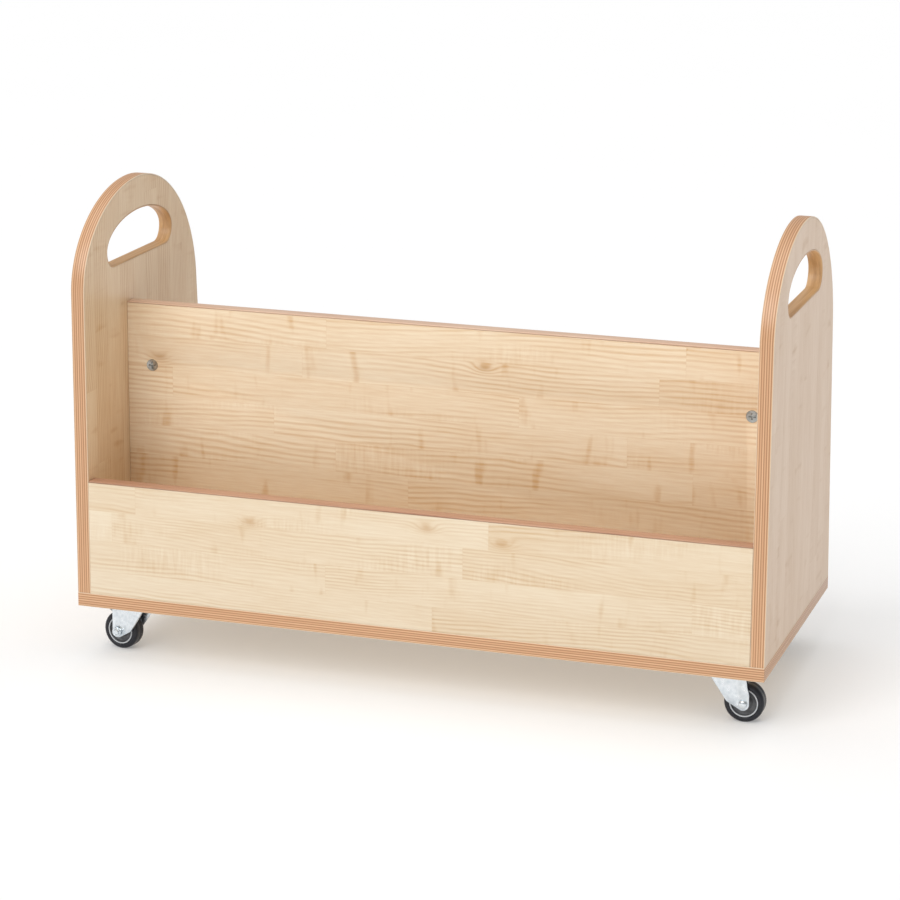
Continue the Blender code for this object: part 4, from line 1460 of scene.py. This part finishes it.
@dataclass
class Fittings:
    """The cam locks, the dowels and the screws that come up through the base."""

    zinc: bpy.types.Material
    cast: bpy.types.Material
    beech: bpy.types.Material

    def build(self) -> None:
        """Model one of each fitting and put a copy at each place."""
        lock = CamLock()
        cam, bolt = lock.cam(), lock.bolt()
        for side in Side:
            for name, panel, _ in fitting_places(side):
                if "_dowel_" in name:
                    self.dress_dowel(name)
                    continue
                face = -1.0 if panel in ("divider", "rear") else 1.0
                centre = cam_centre(name, side)
                edge = Extent.of(name)
                centre.y = edge.low.y if face < 0 else edge.high.y
                up, port = Vector((0.0, face, 0.0)), Vector((side.value, 0.0, 0.0))
                turn = Matrix((port, up.cross(port), up)).transposed().to_4x4()
                matrix = Matrix.Translation(centre) @ turn
                for master, word, finish in ((cam, "lock", self.cast), (bolt, "bolt", self.zinc)):
                    copy = turn_and_move(twin(master, f"{name}_{word}"), matrix)
                    dress(copy, finish, Slot.ZINC, "unit", name)
        for master in (cam, bolt):
            bpy.data.objects.remove(master)
        self.build_base_screws()

    def dress_dowel(self, name: str) -> None:
        """Give one dowel of the frame its wood."""
        dowel = frame["nodes"][name]
        dowel.data.materials.clear()
        dowel.data.materials.append(self.beech)

    def build_base_screws(self) -> None:
        """Model one countersunk screw and put a copy in each bore of the base."""
        head, shank = SIZES.screw_head / 2, SIZES.screw_shank / 2
        sink, length, pitch = SIZES.screw_sink, SIZES.screw_length, SIZES.screw_pitch
        core = shank * 0.70
        thread = []
        for i in range(int(length * 0.7 / pitch)):
            level = sink + length - SIZES.screw_point - i * pitch
            thread += [(core, level), (shank, level - pitch * 0.3), (core, level - pitch * 0.6)]
        neck = sink + head - shank
        rim = sink + 0.3 * MM
        profile = [
            (0.0, sink + length), *thread, (shank * 0.8, neck), (head, rim), (head, sink), (0.0, sink)]
        screw = turned("base_screw_master", profile, 32)
        boolean(screw, cross_recess(sink, -1.0, *SIZES.screw_recess))
        softened(screw, 0.1 * MM, 1)
        for number, place in enumerate(base_screw_places(), 1):
            copy = turn_and_move(twin(screw, f"base_screw_{number:02d}"), Matrix.Translation(place))
            dress(copy, self.zinc, Slot.ZINC, "unit")
        bpy.data.objects.remove(screw)


def cross_recess(face: float, out: float, length: float, width: float, depth: float) -> list[Piece]:
    """Model the tool that presses a cross recess into a screw's head.

    Args:
        face: The height of the head's face.
        out: 1 if the face looks up and -1 if it looks down.
        length: The recess's length from tip to tip.
        width: The width of its arms.
        depth: How deep it goes.

    Returns:
        The two arms as cutters.
    """
    arm, half = length / 2, width / 2
    low, high = sorted((face - out * depth, face + out * 0.5 * MM))
    return [
        block("cutter", (-arm, -half, low), (arm, half, high)),
        block("cutter", (-half, -arm, low), (half, arm, high))]


@dataclass
class CastorSizes:
    """Sizes of a castor about its swivel axis, with its mounting face at zero and its wheel to +X."""

    height: float = 72.0 * MM
    wheel: float = 50.0 * MM
    wheel_width: float = 20.0 * MM
    rim: float = 36.0 * MM
    hub: float = 18.0 * MM
    hub_width: float = 23.6 * MM
    web: float = 8.0 * MM
    wheel_lip: float = 1.5 * MM
    lip_depth: float = 1.0 * MM
    shoulder: float = 4.0 * MM
    trail: float = 21.0 * MM
    plate: float = 60.0 * MM
    plate_steel: float = 2.5 * MM
    plate_corner: float = 6.0 * MM
    ball: float = 4.0 * MM
    ball_count: int = 8
    ball_circle: float = 34.0 * MM
    skirt_wall: float = 1.5 * MM
    crown: float = 47.0 * MM
    steel: float = 2.5 * MM
    kingpin: float = 10.0 * MM
    kingpin_head: float = 17.0 * MM
    fork_clear: float = 2.5 * MM
    axle: float = 8.0 * MM
    axle_head: float = 10.5 * MM
    axle_head_height: float = 3.0 * MM
    nut: float = 13.0 * MM
    nut_height: float = 4.5 * MM
    sleeve_wall: float = 2.0 * MM
    leg_tip: float = 7.8 * MM
    leg_setback: float = 1.5 * MM
    lip: float = 1.3 * MM
    lip_height: float = 0.6 * MM
    crease: float = 12.0 * MM
    crease_angle: float = 6.0
    gap: float = 0.3 * MM
    pedal_x: float = 25.0 * MM
    pedal_z: float = -15.5 * MM
    pedal_pin: float = 4.0 * MM
    pedal_pin_head: float = 7.0 * MM
    pedal_pin_head_height: float = 1.0 * MM
    pedal_reach: float = 53.0 * MM
    pedal_steel: float = 1.5 * MM
    toe_length: float = 11.0 * MM
    toe_width: float = 32.0 * MM
    pedal_slope: float = 0.08
    pedal_heel: float = 4.0 * MM
    pedal_drop: float = 8.0 * MM
    pedal_press: float = 12.0
    toe_corner: float = 3.5 * MM
    groove_spacing: float = 2.1 * MM
    groove_width: float = 0.9 * MM
    groove_depth: float = 0.45 * MM
    shoe_near: float = 7.6 * MM
    shoe_far: float = 11.6 * MM
    shoe_half: float = 7.0 * MM
    plate_hole: float = 5.4 * MM
    screw_head: float = 9.5 * MM
    screw_head_height: float = 2.4 * MM
    screw_shank: float = 4.5 * MM
    screw_length: float = 14.0 * MM
    screw_turn: float = 0.7
    screw_recess: tuple[float, float, float] = (5.2 * MM, 1.0 * MM, 1.5 * MM)
    skirt_fillet: float = 1.2 * MM
    cage_width: float = 2.0 * MM
    cage_steel: float = 1.0 * MM
    kingpin_head_height: float = 3.0 * MM
    leg_drop: float = 0.8 * MM
    leg_knee: tuple[float, float, float] = (4.2 * MM, 6.6 * MM, 5.0 * MM)
    leg_heel: tuple[float, float, float] = (4.2 * MM, 3.4 * MM, 2.4 * MM)
    leg_shoulder: tuple[float, float, float] = (4.0 * MM, 11.5 * MM, 4.0 * MM)
    dish_depth: float = 0.6 * MM
    crown_edge: float = 2.5 * MM
    crown_drop: float = 4.6 * MM
    axle_head_rim: float = 0.5 * MM
    axle_pitch: float = 1.25 * MM
    nut_chamfer: float = 0.9 * MM
    pad_under: float = 0.4 * MM
    pad_over: float = 0.9 * MM
    tyre_fall: float = 1.3 * MM
    shoe_depth: float = 2.4 * MM

    @property
    def axle_z(self) -> float:
        """The height of the axle."""
        return self.wheel / 2 - self.height

    @property
    def plate_low(self) -> float:
        """The height of the mounting plate's lower face."""
        return -self.gap - self.plate_steel

    @property
    def ball_z(self) -> float:
        """The height of the balls' middles."""
        return self.plate_low - self.gap - self.ball / 2

    @property
    def crown_top(self) -> float:
        """The height of the fork's crown."""
        return self.ball_z - self.ball / 2 - self.gap

    @property
    def leg_inner(self) -> float:
        """How far a leg's inner face lies from the wheel's mid plane."""
        return self.wheel_width / 2 + self.fork_clear

    @property
    def leg_outer(self) -> float:
        """How far a leg's outer face lies from the wheel's mid plane."""
        return self.leg_inner + self.steel


@dataclass(frozen=True)
class CastorPart:
    """A castor part's model about the swivel axis, and how each castor carries it.

    Attributes:
        word: The last words of the copies' names.
        model: What is copied.
        place: Where the copy goes from the castor's own middle.
        finish: Its material.
        slot: The record's slot that the finish belongs to.
        body: The last word of the body that it moves with, or none if it stays with the unit.
        node: The last words of the node that it stands for, or none.
        braked: Whether only braked or only unbraked castors have it, or none if all do.
    """

    word: str
    model: Piece
    place: Matrix
    finish: bpy.types.Material
    slot: Slot = Slot.ZINC
    body: str = ""
    node: str = ""
    braked: bool | None = None


@dataclass
class CastorMaker:
    """Models one of each castor part about the swivel axis, and sets copies under the corners."""

    zinc: bpy.types.Material
    steel: bpy.types.Material
    nylon: bpy.types.Material
    pale_nylon: bpy.types.Material
    rubber: bpy.types.Material
    sizes: CastorSizes

    def plate(self) -> Piece:
        """Model the mounting plate with the pressed skirt round its balls."""
        s = self.sizes
        half = s.plate / 2
        plate = block("plate_master", (-half, -half, s.plate_low), (half, half, -s.gap))
        with editing(plate):
            pick(plate, Part.EDGE, lambda edge: runs_along(edge, Axis.Z))
            bpy.ops.mesh.bevel(offset=s.plate_corner, segments=8, affect="EDGES")
        inner = s.ball_circle / 2 + s.ball / 2 + 2 * s.gap
        outer = inner + s.skirt_wall
        wide = outer + s.skirt_fillet
        low, high = s.crown_top + 2 * s.gap, s.plate_low + s.plate_steel / 2
        skirt = turned("skirt", [
            (inner, high), (wide, high), (wide, s.plate_low - 0.2 * MM),
            (outer, s.plate_low - s.skirt_fillet), (outer, low), (inner, low)], 96, closed=True)
        boolean(plate, [skirt], "UNION")
        holes = [rod("cutter", (0.0, 0.0, s.plate_low - MM), (0.0, 0.0, MM), s.kingpin + 2 * s.gap)]
        for x, y in self.plate_hole_places():
            holes.append(rod("cutter", (x, y, s.plate_low - MM), (x, y, MM), s.plate_hole, 32))
        return softened(boolean(plate, holes), 0.35 * MM)

    def plate_hole_places(self) -> list[tuple[float, float]]:
        """Work out where the mounting plate's screws are."""
        half = SIZES.plate_hole_spacing / 2
        return [(x, y) for x in (-half, half) for y in (-half, half)]

    def plate_screw(self) -> Piece:
        """Model one pan head screw, its head down under the plate."""
        s = self.sizes
        head, shank, seat = s.screw_head / 2, s.screw_shank / 2, s.plate_low - 0.05 * MM
        foot, tip = s.plate_low - s.screw_head_height, s.screw_length
        profile = [
            (0.0, tip), (shank * 0.4, tip - 1.5 * MM), (shank, tip - 5.0 * MM), (shank, seat),
            (head, seat), (head, s.plate_low - 0.9 * MM), (head * 0.9, foot + 0.5 * MM),
            (head * 0.66, foot + 0.12 * MM), (head * 0.3, foot), (0.0, foot)]
        screw = turned("plate_screw_master", profile, 32)
        boolean(screw, cross_recess(foot, -1.0, *s.screw_recess))
        return softened(screw, 0.08 * MM, 1)

    def ball_cage(self) -> Piece:
        """Model the ring of balls in their pressed cage."""
        s = self.sizes
        circle = s.ball_circle / 2
        width, thick = s.cage_width / 2, s.cage_steel / 2
        cage = turned("cage_master", [
            (circle - width, s.ball_z + thick), (circle + width, s.ball_z + thick),
            (circle + width, s.ball_z - thick), (circle - width, s.ball_z - thick)], 96, closed=True)
        balls = []
        for i in range(s.ball_count):
            angle = math.tau * i / s.ball_count
            place = (circle * math.cos(angle), circle * math.sin(angle), s.ball_z)
            bpy.ops.mesh.primitive_uv_sphere_add(
                segments=24, ring_count=16, radius=s.ball / 2, location=place)
            balls.append(settled("ball"))
        return shaded(boolean(cage, balls, "UNION"))

    def kingpin(self) -> Piece:
        """Model the rivet that holds the fork to the plate."""
        s = self.sizes
        radius, head = s.kingpin / 2, s.kingpin_head / 2
        seat = s.crown_top - s.steel - s.gap
        foot = seat - s.kingpin_head_height
        profile = [
            (0.0, -s.gap), (radius, -s.gap), (radius, seat), (head, seat), (head, seat - 1.1 * MM),
            (head * 0.93, foot + 0.9 * MM), (head * 0.75, foot + 0.2 * MM), (head * 0.45, foot),
            (head * 0.3, foot + 0.5 * MM), (0.0, foot + 0.6 * MM)]
        return softened(turned("kingpin_master", profile, 64), 0.2 * MM)

    def leg(self, braked: bool) -> Piece:
        """Model one leg of the fork: a pressed plate with a round tip, a raised lip and a crease.

        Args:
            braked: Whether the leg is wide enough behind to carry a brake pedal.

        Returns:
            The leg on the +Y side.
        """
        s = self.sizes
        top = s.crown_top - s.leg_drop
        half = s.crown / 2 - s.leg_setback
        back = s.trail + s.leg_tip if braked else half
        near, far = s.leg_inner, s.leg_outer + s.lip_height
        leg = block("leg_master", (-half, near, top - MM), (back, far, top))
        knee, heel, shoulder = s.leg_knee, s.leg_heel, s.leg_shoulder
        rounds = [
            (s.trail, s.axle_z, s.leg_tip),
            (knee[0], s.axle_z + knee[1], knee[2]),
            (-half + heel[0], top - heel[1], heel[2])]
        if not braked:
            rounds.append((s.trail + s.leg_tip - shoulder[0], s.axle_z + shoulder[1], shoulder[2]))
        with editing(leg):
            for x, z, radius in rounds:
                bpy.ops.mesh.primitive_cylinder_add(
                    vertices=64, radius=radius, depth=far - near, location=(x, (near + far) / 2, z),
                    rotation=(math.pi / 2, 0.0, 0.0))
            select_whole()
            bpy.ops.mesh.convex_hull()
            select_whole()
            bpy.ops.mesh.dissolve_limited(angle_limit=math.radians(0.5))
            pick(leg, Part.FACE, lambda face: face.normal.y > 0.99)
            bpy.ops.mesh.inset(thickness=s.lip)
            bpy.ops.transform.translate(value=(0.0, -s.lip_height, 0.0))
            select_whole()
            bpy.ops.mesh.bisect(plane_co=(s.crease, 0.0, 0.0), plane_no=(1.0, 0.0, 0.0))
            pick(leg, Part.VERT, lambda vert: vert.co.x < s.crease - 0.01 * MM)
            bpy.ops.transform.rotate(
                value=math.radians(s.crease_angle), orient_axis="Z", center_override=(s.crease, near, 0.0))
        return leg

    def fork(self, braked: bool) -> Piece:
        """Model a pressed fork: a dished crown with a ball race, and two legs.

        Args:
            braked: Whether it carries a brake pedal.

        Returns:
            The fork.
        """
        s = self.sizes
        bore = s.kingpin / 2 + s.gap
        radius = s.crown / 2
        top, low = s.crown_top, s.crown_top - s.steel
        race = s.ball_circle / 2
        dish = top - s.dish_depth
        upper = [(bore, dish), (race - 4.0 * MM, dish), (race - 2.2 * MM, top), (race + 2.4 * MM, top)]
        edge = arc((radius - s.crown_edge, top - s.crown_edge), s.crown_edge, 80.0, 0.0, 5)
        skirt = top - s.crown_drop
        under = [(radius, skirt), (radius - 1.6 * MM, skirt), (radius - 2.6 * MM, low), (bore, low)]
        fork = turned("fork_master", [*upper, *edge, *under], 96, closed=True)
        legs = self.leg(braked)
        apply_modifier(legs, "MIRROR", use_axis=(False, True, False), use_mirror_merge=False)
        with editing(legs):
            select_whole()
            bpy.ops.mesh.normals_make_consistent(inside=False)
        boolean(fork, [legs], "UNION")
        reach = s.leg_outer + 4.0 * MM
        bores = [rod("cutter", (s.trail, -reach, s.axle_z), (s.trail, reach, s.axle_z), s.axle + 2 * s.gap)]
        if braked:
            ends = [(s.pedal_x, side * reach, s.pedal_z) for side in (-1.0, 1.0)]
            bores.append(rod("cutter", *ends, s.pedal_pin + 2 * s.gap, 32))
        return softened(boolean(fork, bores), 0.25 * MM)

    def axle_bolt(self) -> Piece:
        """Model the axle bolt along Z, its domed head up."""
        s = self.sizes
        radius, head = s.axle / 2, s.axle_head / 2
        seat = s.leg_outer + s.gap
        dome = arc((0.0, 0.0), 1.0, 90.0, 12.0, 8)
        rim, rise = seat + s.axle_head_rim, s.axle_head_height - s.axle_head_rim
        crown = [(max(head * x, 0.0), rim + rise * y) for x, y in dome]
        crown[0] = (0.0, crown[0][1])
        tail = -(seat + s.nut_height + MM)
        thread = []
        for i in range(5):
            level = -s.leg_outer - 0.4 * MM - i * s.axle_pitch
            thread += [(radius, level), (radius * 0.88, level - s.axle_pitch / 2)]
        profile = [*crown, (head, seat), (radius, seat), *thread, (radius * 0.85, tail), (0.0, tail)]
        return softened(turned("axle_master", profile, 48), 0.1 * MM, 1)

    def spacer(self) -> Piece:
        """Model the tube that the wheel turns on."""
        s = self.sizes
        inner, outer, half = s.axle / 2 + 0.05 * MM, s.axle / 2 + s.sleeve_wall, s.leg_inner - s.gap
        profile = [(inner, half), (outer, half), (outer, -half), (inner, -half)]
        return softened(turned("spacer_master", profile, 48, closed=True), 0.2 * MM)

    def nut(self) -> Piece:
        """Model the axle's hexagon nut with chamfered corners."""
        s = self.sizes
        seat = s.leg_outer + s.gap
        nut = rod("nut_master", (0.0, 0.0, -seat - s.nut_height), (0.0, 0.0, -seat), s.nut, 6)
        flat, corner = s.nut * math.cos(math.pi / 6) / 2, s.nut / 2 + 0.1 * MM
        low, high = -seat - s.nut_height, -seat
        barrel = turned("cutter", [
            (0.0, high), (flat, high), (corner, high - s.nut_chamfer), (corner, low + s.nut_chamfer),
            (flat, low), (0.0, low)], 48)
        boolean(nut, [barrel], "INTERSECT")
        boolean(nut, [rod("cutter", (0.0, 0.0, low - MM), (0.0, 0.0, high + MM), s.axle + 0.1 * MM)])
        return softened(nut, 0.15 * MM)

    def wheel_centre(self) -> Piece:
        """Model the moulded wheel centre along Z: hub, dished web and rim with a pale lip."""
        s = self.sizes
        bore = s.axle / 2 + s.sleeve_wall + s.gap
        hub, hub_half = s.hub / 2, s.hub_width / 2
        rim, half, web = s.rim / 2, s.wheel_width / 2, s.web / 2
        face = [
            (bore, hub_half), (hub - 1.6 * MM, hub_half), (hub - 0.8 * MM, hub_half - 0.8 * MM),
            (hub, half - 2.0 * MM), (hub + 0.6 * MM, web + 0.6 * MM), (hub + 1.4 * MM, web),
            (rim - 3.6 * MM, web + 0.4 * MM), (rim - 2.2 * MM, web + 1.6 * MM),
            (rim - s.wheel_lip, half - s.lip_depth), (rim, half - s.lip_depth)]
        profile = face + [(radius, -level) for radius, level in reversed(face)]
        return softened(turned("wheel_master", profile, 96, closed=True), 0.2 * MM)

    def wheel_lips(self) -> Piece:
        """Model the pale ring that closes each side of the wheel centre's rim, along Z."""
        s = self.sizes
        rim, half = s.rim / 2, s.wheel_width / 2
        low, edge = half - s.lip_depth + 0.02 * MM, 0.3 * MM
        face = [
            (rim - s.wheel_lip, low), (rim - s.wheel_lip, half - edge), (rim - s.wheel_lip + edge, half),
            (rim - edge, half), (rim, half - edge), (rim, low)]
        rings = [
            turned("wheel_lip_master", [(radius, side * level) for radius, level in face], 96, closed=True)
            for side in (1.0, -1.0)]
        return united(rings)

    def tyre(self) -> Piece:
        """Model the tyre along Z, with round shoulders, a ring in each side and a mould line."""
        s = self.sizes
        inner, outer, half, shoulder = s.rim / 2 + s.gap, s.wheel / 2, s.wheel_width / 2, s.shoulder
        upper = arc((outer - shoulder, half - shoulder), shoulder, 90.0, 0.0, 8)
        side = [(inner, half - 0.3 * MM), (inner + 0.7 * MM, half - 0.3 * MM), (inner + 1.1 * MM, half)]
        mould_line = [(outer, 0.35 * MM), (outer - 0.12 * MM, 0.0)]
        face = [*side, *upper, mould_line[0]]
        profile = [*face, mould_line[1], *((radius, -level) for radius, level in reversed(face))]
        return softened(turned("tyre_master", profile, 128, closed=True), 0.12 * MM, 1)

    def pedal(self) -> Piece:
        """Model the brake pedal about its pivot: a pressed channel with a ribbed toe and a shoe."""
        s = self.sizes
        inside = s.wheel_width + 4 * s.gap
        outside = inside + 2 * s.pedal_steel
        reach = s.pedal_reach - s.pedal_x
        toe = reach - s.toe_length
        top = s.pedal_pin / 2 + s.gap + s.pedal_steel
        low, high = (-s.pedal_heel, -outside / 2, -s.pedal_drop), (toe + 4.0 * MM, outside / 2, top)
        body = block("pedal_master", low, high)
        slope = Vector((s.pedal_slope, 0.0, 1.0)).normalized()
        under = Vector((0.66, 0.0, -1.0)).normalized()
        with editing(body):
            for point, normal in (
                    ((0.0, 0.0, top), slope),
                    ((s.pedal_heel, 0.0, -s.pedal_drop), under),
                    ((-s.pedal_heel, 0.0, -s.pedal_drop * 0.45), Vector((-1.0, 0.0, -0.9)).normalized())):
                cut_off(point, normal)
        ceiling = top - s.pedal_steel
        low = (-2 * s.pedal_heel, -inside / 2, -2 * s.pedal_drop)
        hollow = block("cutter", low, (toe - s.pedal_steel, inside / 2, ceiling))
        with editing(hollow):
            cut_off((0.0, 0.0, ceiling), slope)
        boolean(body, [hollow])
        fall = s.pedal_slope * reach
        pad_low, pad_high = top - fall - s.pedal_steel - s.pad_under, top - fall + s.pad_over
        pad = block("pad", (toe, -s.toe_width / 2, pad_low), (reach, s.toe_width / 2, pad_high))
        with editing(pad):
            pick(pad, Part.EDGE, lambda edge: runs_along(edge, Axis.Z) and edge.verts[0].co.x > toe + MM)
            bpy.ops.mesh.bevel(offset=s.toe_corner, segments=6, affect="EDGES")
        starts = [toe + step * s.groove_spacing for step in (1, 2, 3, 4)]
        boolean(pad, [
            block("cutter", (start, -s.toe_width, pad_high - s.groove_depth),
                  (start + s.groove_width, s.toe_width, pad_high + MM)) for start in starts])
        fall = s.shoe_near * math.sin(math.radians(s.pedal_press))
        tyre_top = s.axle_z + s.wheel / 2 - s.pedal_z
        shoe_low = min(tyre_top - s.tyre_fall + fall, ceiling - s.shoe_depth)
        shoe = block("shoe", (s.shoe_near, -s.shoe_half, shoe_low), (s.shoe_far, s.shoe_half, ceiling))
        boolean(body, [pad, shoe], "UNION")
        boolean(body, [rod("cutter", (0.0, -outside, 0.0), (0.0, outside, 0.0), s.pedal_pin + 2 * s.gap, 32)])
        return softened(body, 0.25 * MM)

    def pedal_rivet(self) -> Piece:
        """Model the headed pin that the pedal turns on, along Z."""
        s = self.sizes
        radius, head = s.pedal_pin / 2, s.pedal_pin_head / 2
        seat = s.leg_outer + s.gap
        end = seat + s.pedal_pin_head_height
        half = [(0.0, end), (head * 0.6, end), (head * 0.9, end - 0.35 * MM), (head, seat), (radius, seat)]
        profile = half + [(r, -z) for r, z in reversed(half)]
        return softened(turned("pin_master", profile, 40), 0.1 * MM, 1)

    def corner_matrix(self, corner: str) -> tuple[Matrix, Matrix]:
        """Work out where a castor's fixed and swivelling parts are.

        Args:
            corner: The castor's corner.

        Returns:
            The placement of the mounting plate, and that of the fork.
        """
        joints = {joint["name"]: joint for joint in frame["joints"]}
        centre = Vector(joints[f"{corner}_swivel"]["pos_m"])
        wheel = Vector(joints[f"{corner}_wheel_spin"]["pos_m"])
        turn = math.atan2(wheel.y - centre.y, wheel.x - centre.x)
        fixed = Matrix.Translation(centre)
        return fixed, fixed @ Matrix.Rotation(turn, 4, "Z")

    def parts(self) -> list[CastorPart]:
        """Model every part once.

        Returns:
            The parts with their finishes and places.
        """
        s = self.sizes
        middle = Matrix.Identity(4)
        lay_down = Matrix.Rotation(math.pi / 2, 4, "X")
        on_axle = Matrix.Translation((s.trail, 0.0, s.axle_z)) @ lay_down
        at_pivot = Matrix.Translation((s.pedal_x, 0.0, s.pedal_z))
        screw = self.plate_screw()
        screws = [
            CastorPart(
                f"plate_screw_{number}", screw,
                Matrix.Translation((x, y, 0.0)) @ Matrix.Rotation(s.screw_turn * number, 4, "Z"), self.steel)
            for number, (x, y) in enumerate(self.plate_hole_places(), 1)]
        forks = [
            CastorPart(
                "pressed_fork", self.fork(braked), middle, self.zinc, body="castor", node="fork",
                braked=braked)
            for braked in (True, False)]
        on_bolt = [
            CastorPart(word, model, on_axle, self.steel, body="castor", node="axle")
            for word, model in (
                ("axle_bolt", self.axle_bolt()), ("spacer_tube", self.spacer()), ("axle_nut", self.nut()))]
        return [
            CastorPart("top_plate", self.plate(), middle, self.zinc, node="mounting_plate"),
            *screws,
            CastorPart("balls", self.ball_cage(), middle, self.steel, node="ball_cage"),
            CastorPart("king_rivet", self.kingpin(), middle, self.steel, node="kingpin"),
            *forks,
            *on_bolt,
            CastorPart(
                "wheel_core", self.wheel_centre(), on_axle, self.nylon, Slot.NYLON, "wheel", "wheel_centre"),
            CastorPart("wheel_lips", self.wheel_lips(), on_axle, self.pale_nylon, Slot.NYLON, "wheel"),
            CastorPart("tread", self.tyre(), on_axle, self.rubber, Slot.RUBBER, "wheel", "tyre"),
            CastorPart(
                "foot_pedal", self.pedal(), at_pivot, self.zinc, body="brake", node="brake_pedal",
                braked=True),
            CastorPart(
                "pedal_rivet", self.pedal_rivet(), at_pivot @ lay_down, self.steel, body="castor",
                node="brake_pin", braked=True)]

    def build(self) -> None:
        """Model every part once and set copies of them under the four corners."""
        parts = self.parts()
        for corner in CORNERS:
            fixed, turning = self.corner_matrix(corner)
            has_brake = f"{corner}_brake_pedal" in frame["nodes"]
            for part in parts:
                if part.braked not in (None, has_brake):
                    continue
                copy = twin(part.model, f"{corner}_{part.word}")
                turn_and_move(copy, (turning if part.body else fixed) @ part.place)
                body = f"{corner}_{part.body}" if part.body else "unit"
                nodes = [f"{corner}_{part.node}"] if part.node else []
                dress(copy, part.finish, part.slot, body, *nodes)
        for model in dict.fromkeys(part.model for part in parts):
            bpy.data.objects.remove(model)


def build_cross_panels() -> None:
    """Build the three panels between the ends, each with a decor of its own."""
    front = MapleMelamine(
        "maple print melamine, front panel", Axis.X, Axis.Z, Vector((0.139, 0.0, 0.202)),
        ((-0.211, 0.2075), (0.023, 0.222), (0.120, 0.212)))
    divider = MapleMelamine(
        "maple print melamine, divider panel", Axis.X, Axis.Z, Vector((0.35, 0.0, 0.405)),
        ((-0.387, 0.378), (0.055, 0.398)), "F8E5C8", "D6A973", line_spacing=0.0068)
    rear = MapleMelamine("maple print melamine, rear panel", Axis.X, Axis.Z, Vector((0.23, 0.0, 0.04)))
    # The three top edgings are one edging. The divider's is painted paler, a painted highlight for the extra
    # light that its top edge catches.
    tan, painted_lit_tan = ("C4977A", "A8775C"), ("E5C5AB", "CDA488")
    for name, faces_rear, decor, tones in (
            ("front", True, front, tan), ("divider", False, divider, painted_lit_tan), ("rear", False, rear, tan)):
        edging = PlainEdging(f"maple effect edging, {name} top", Axis.X, Axis.Y, *tones)
        CrossPanel(name, faces_rear, decor, edging).build()


def main() -> None:
    """Build the studio and the unit, piece by piece."""
    logging.basicConfig(level=logging.INFO, format="%(message)s")
    Studio().build()
    zinc = ZincPlate("bright zinc plate, pressed").material()
    turned_zinc = ZincPlate("bright zinc plate, turned", roughness=0.24).material()
    cast = ZincPlate("die-cast zinc", base="BFC0BC", mottle="9A9A96", roughness=0.42).material()
    BaseBoard(Extent.of("base_panel"), Extent.of("base_edging")).build()
    for side in Side:
        EndPanel(side).build()
    build_cross_panels()
    Fittings(zinc, cast, BareBeech().material()).build()
    grey = GreyNylon().material()
    pale = GreyNylon("moulded pale nylon", "C4C8CD", "D6D9DC").material()
    CastorMaker(zinc, turned_zinc, grey, pale, TyreRubber().material(), CastorSizes()).build()


if __name__ == "__main__":
    main()
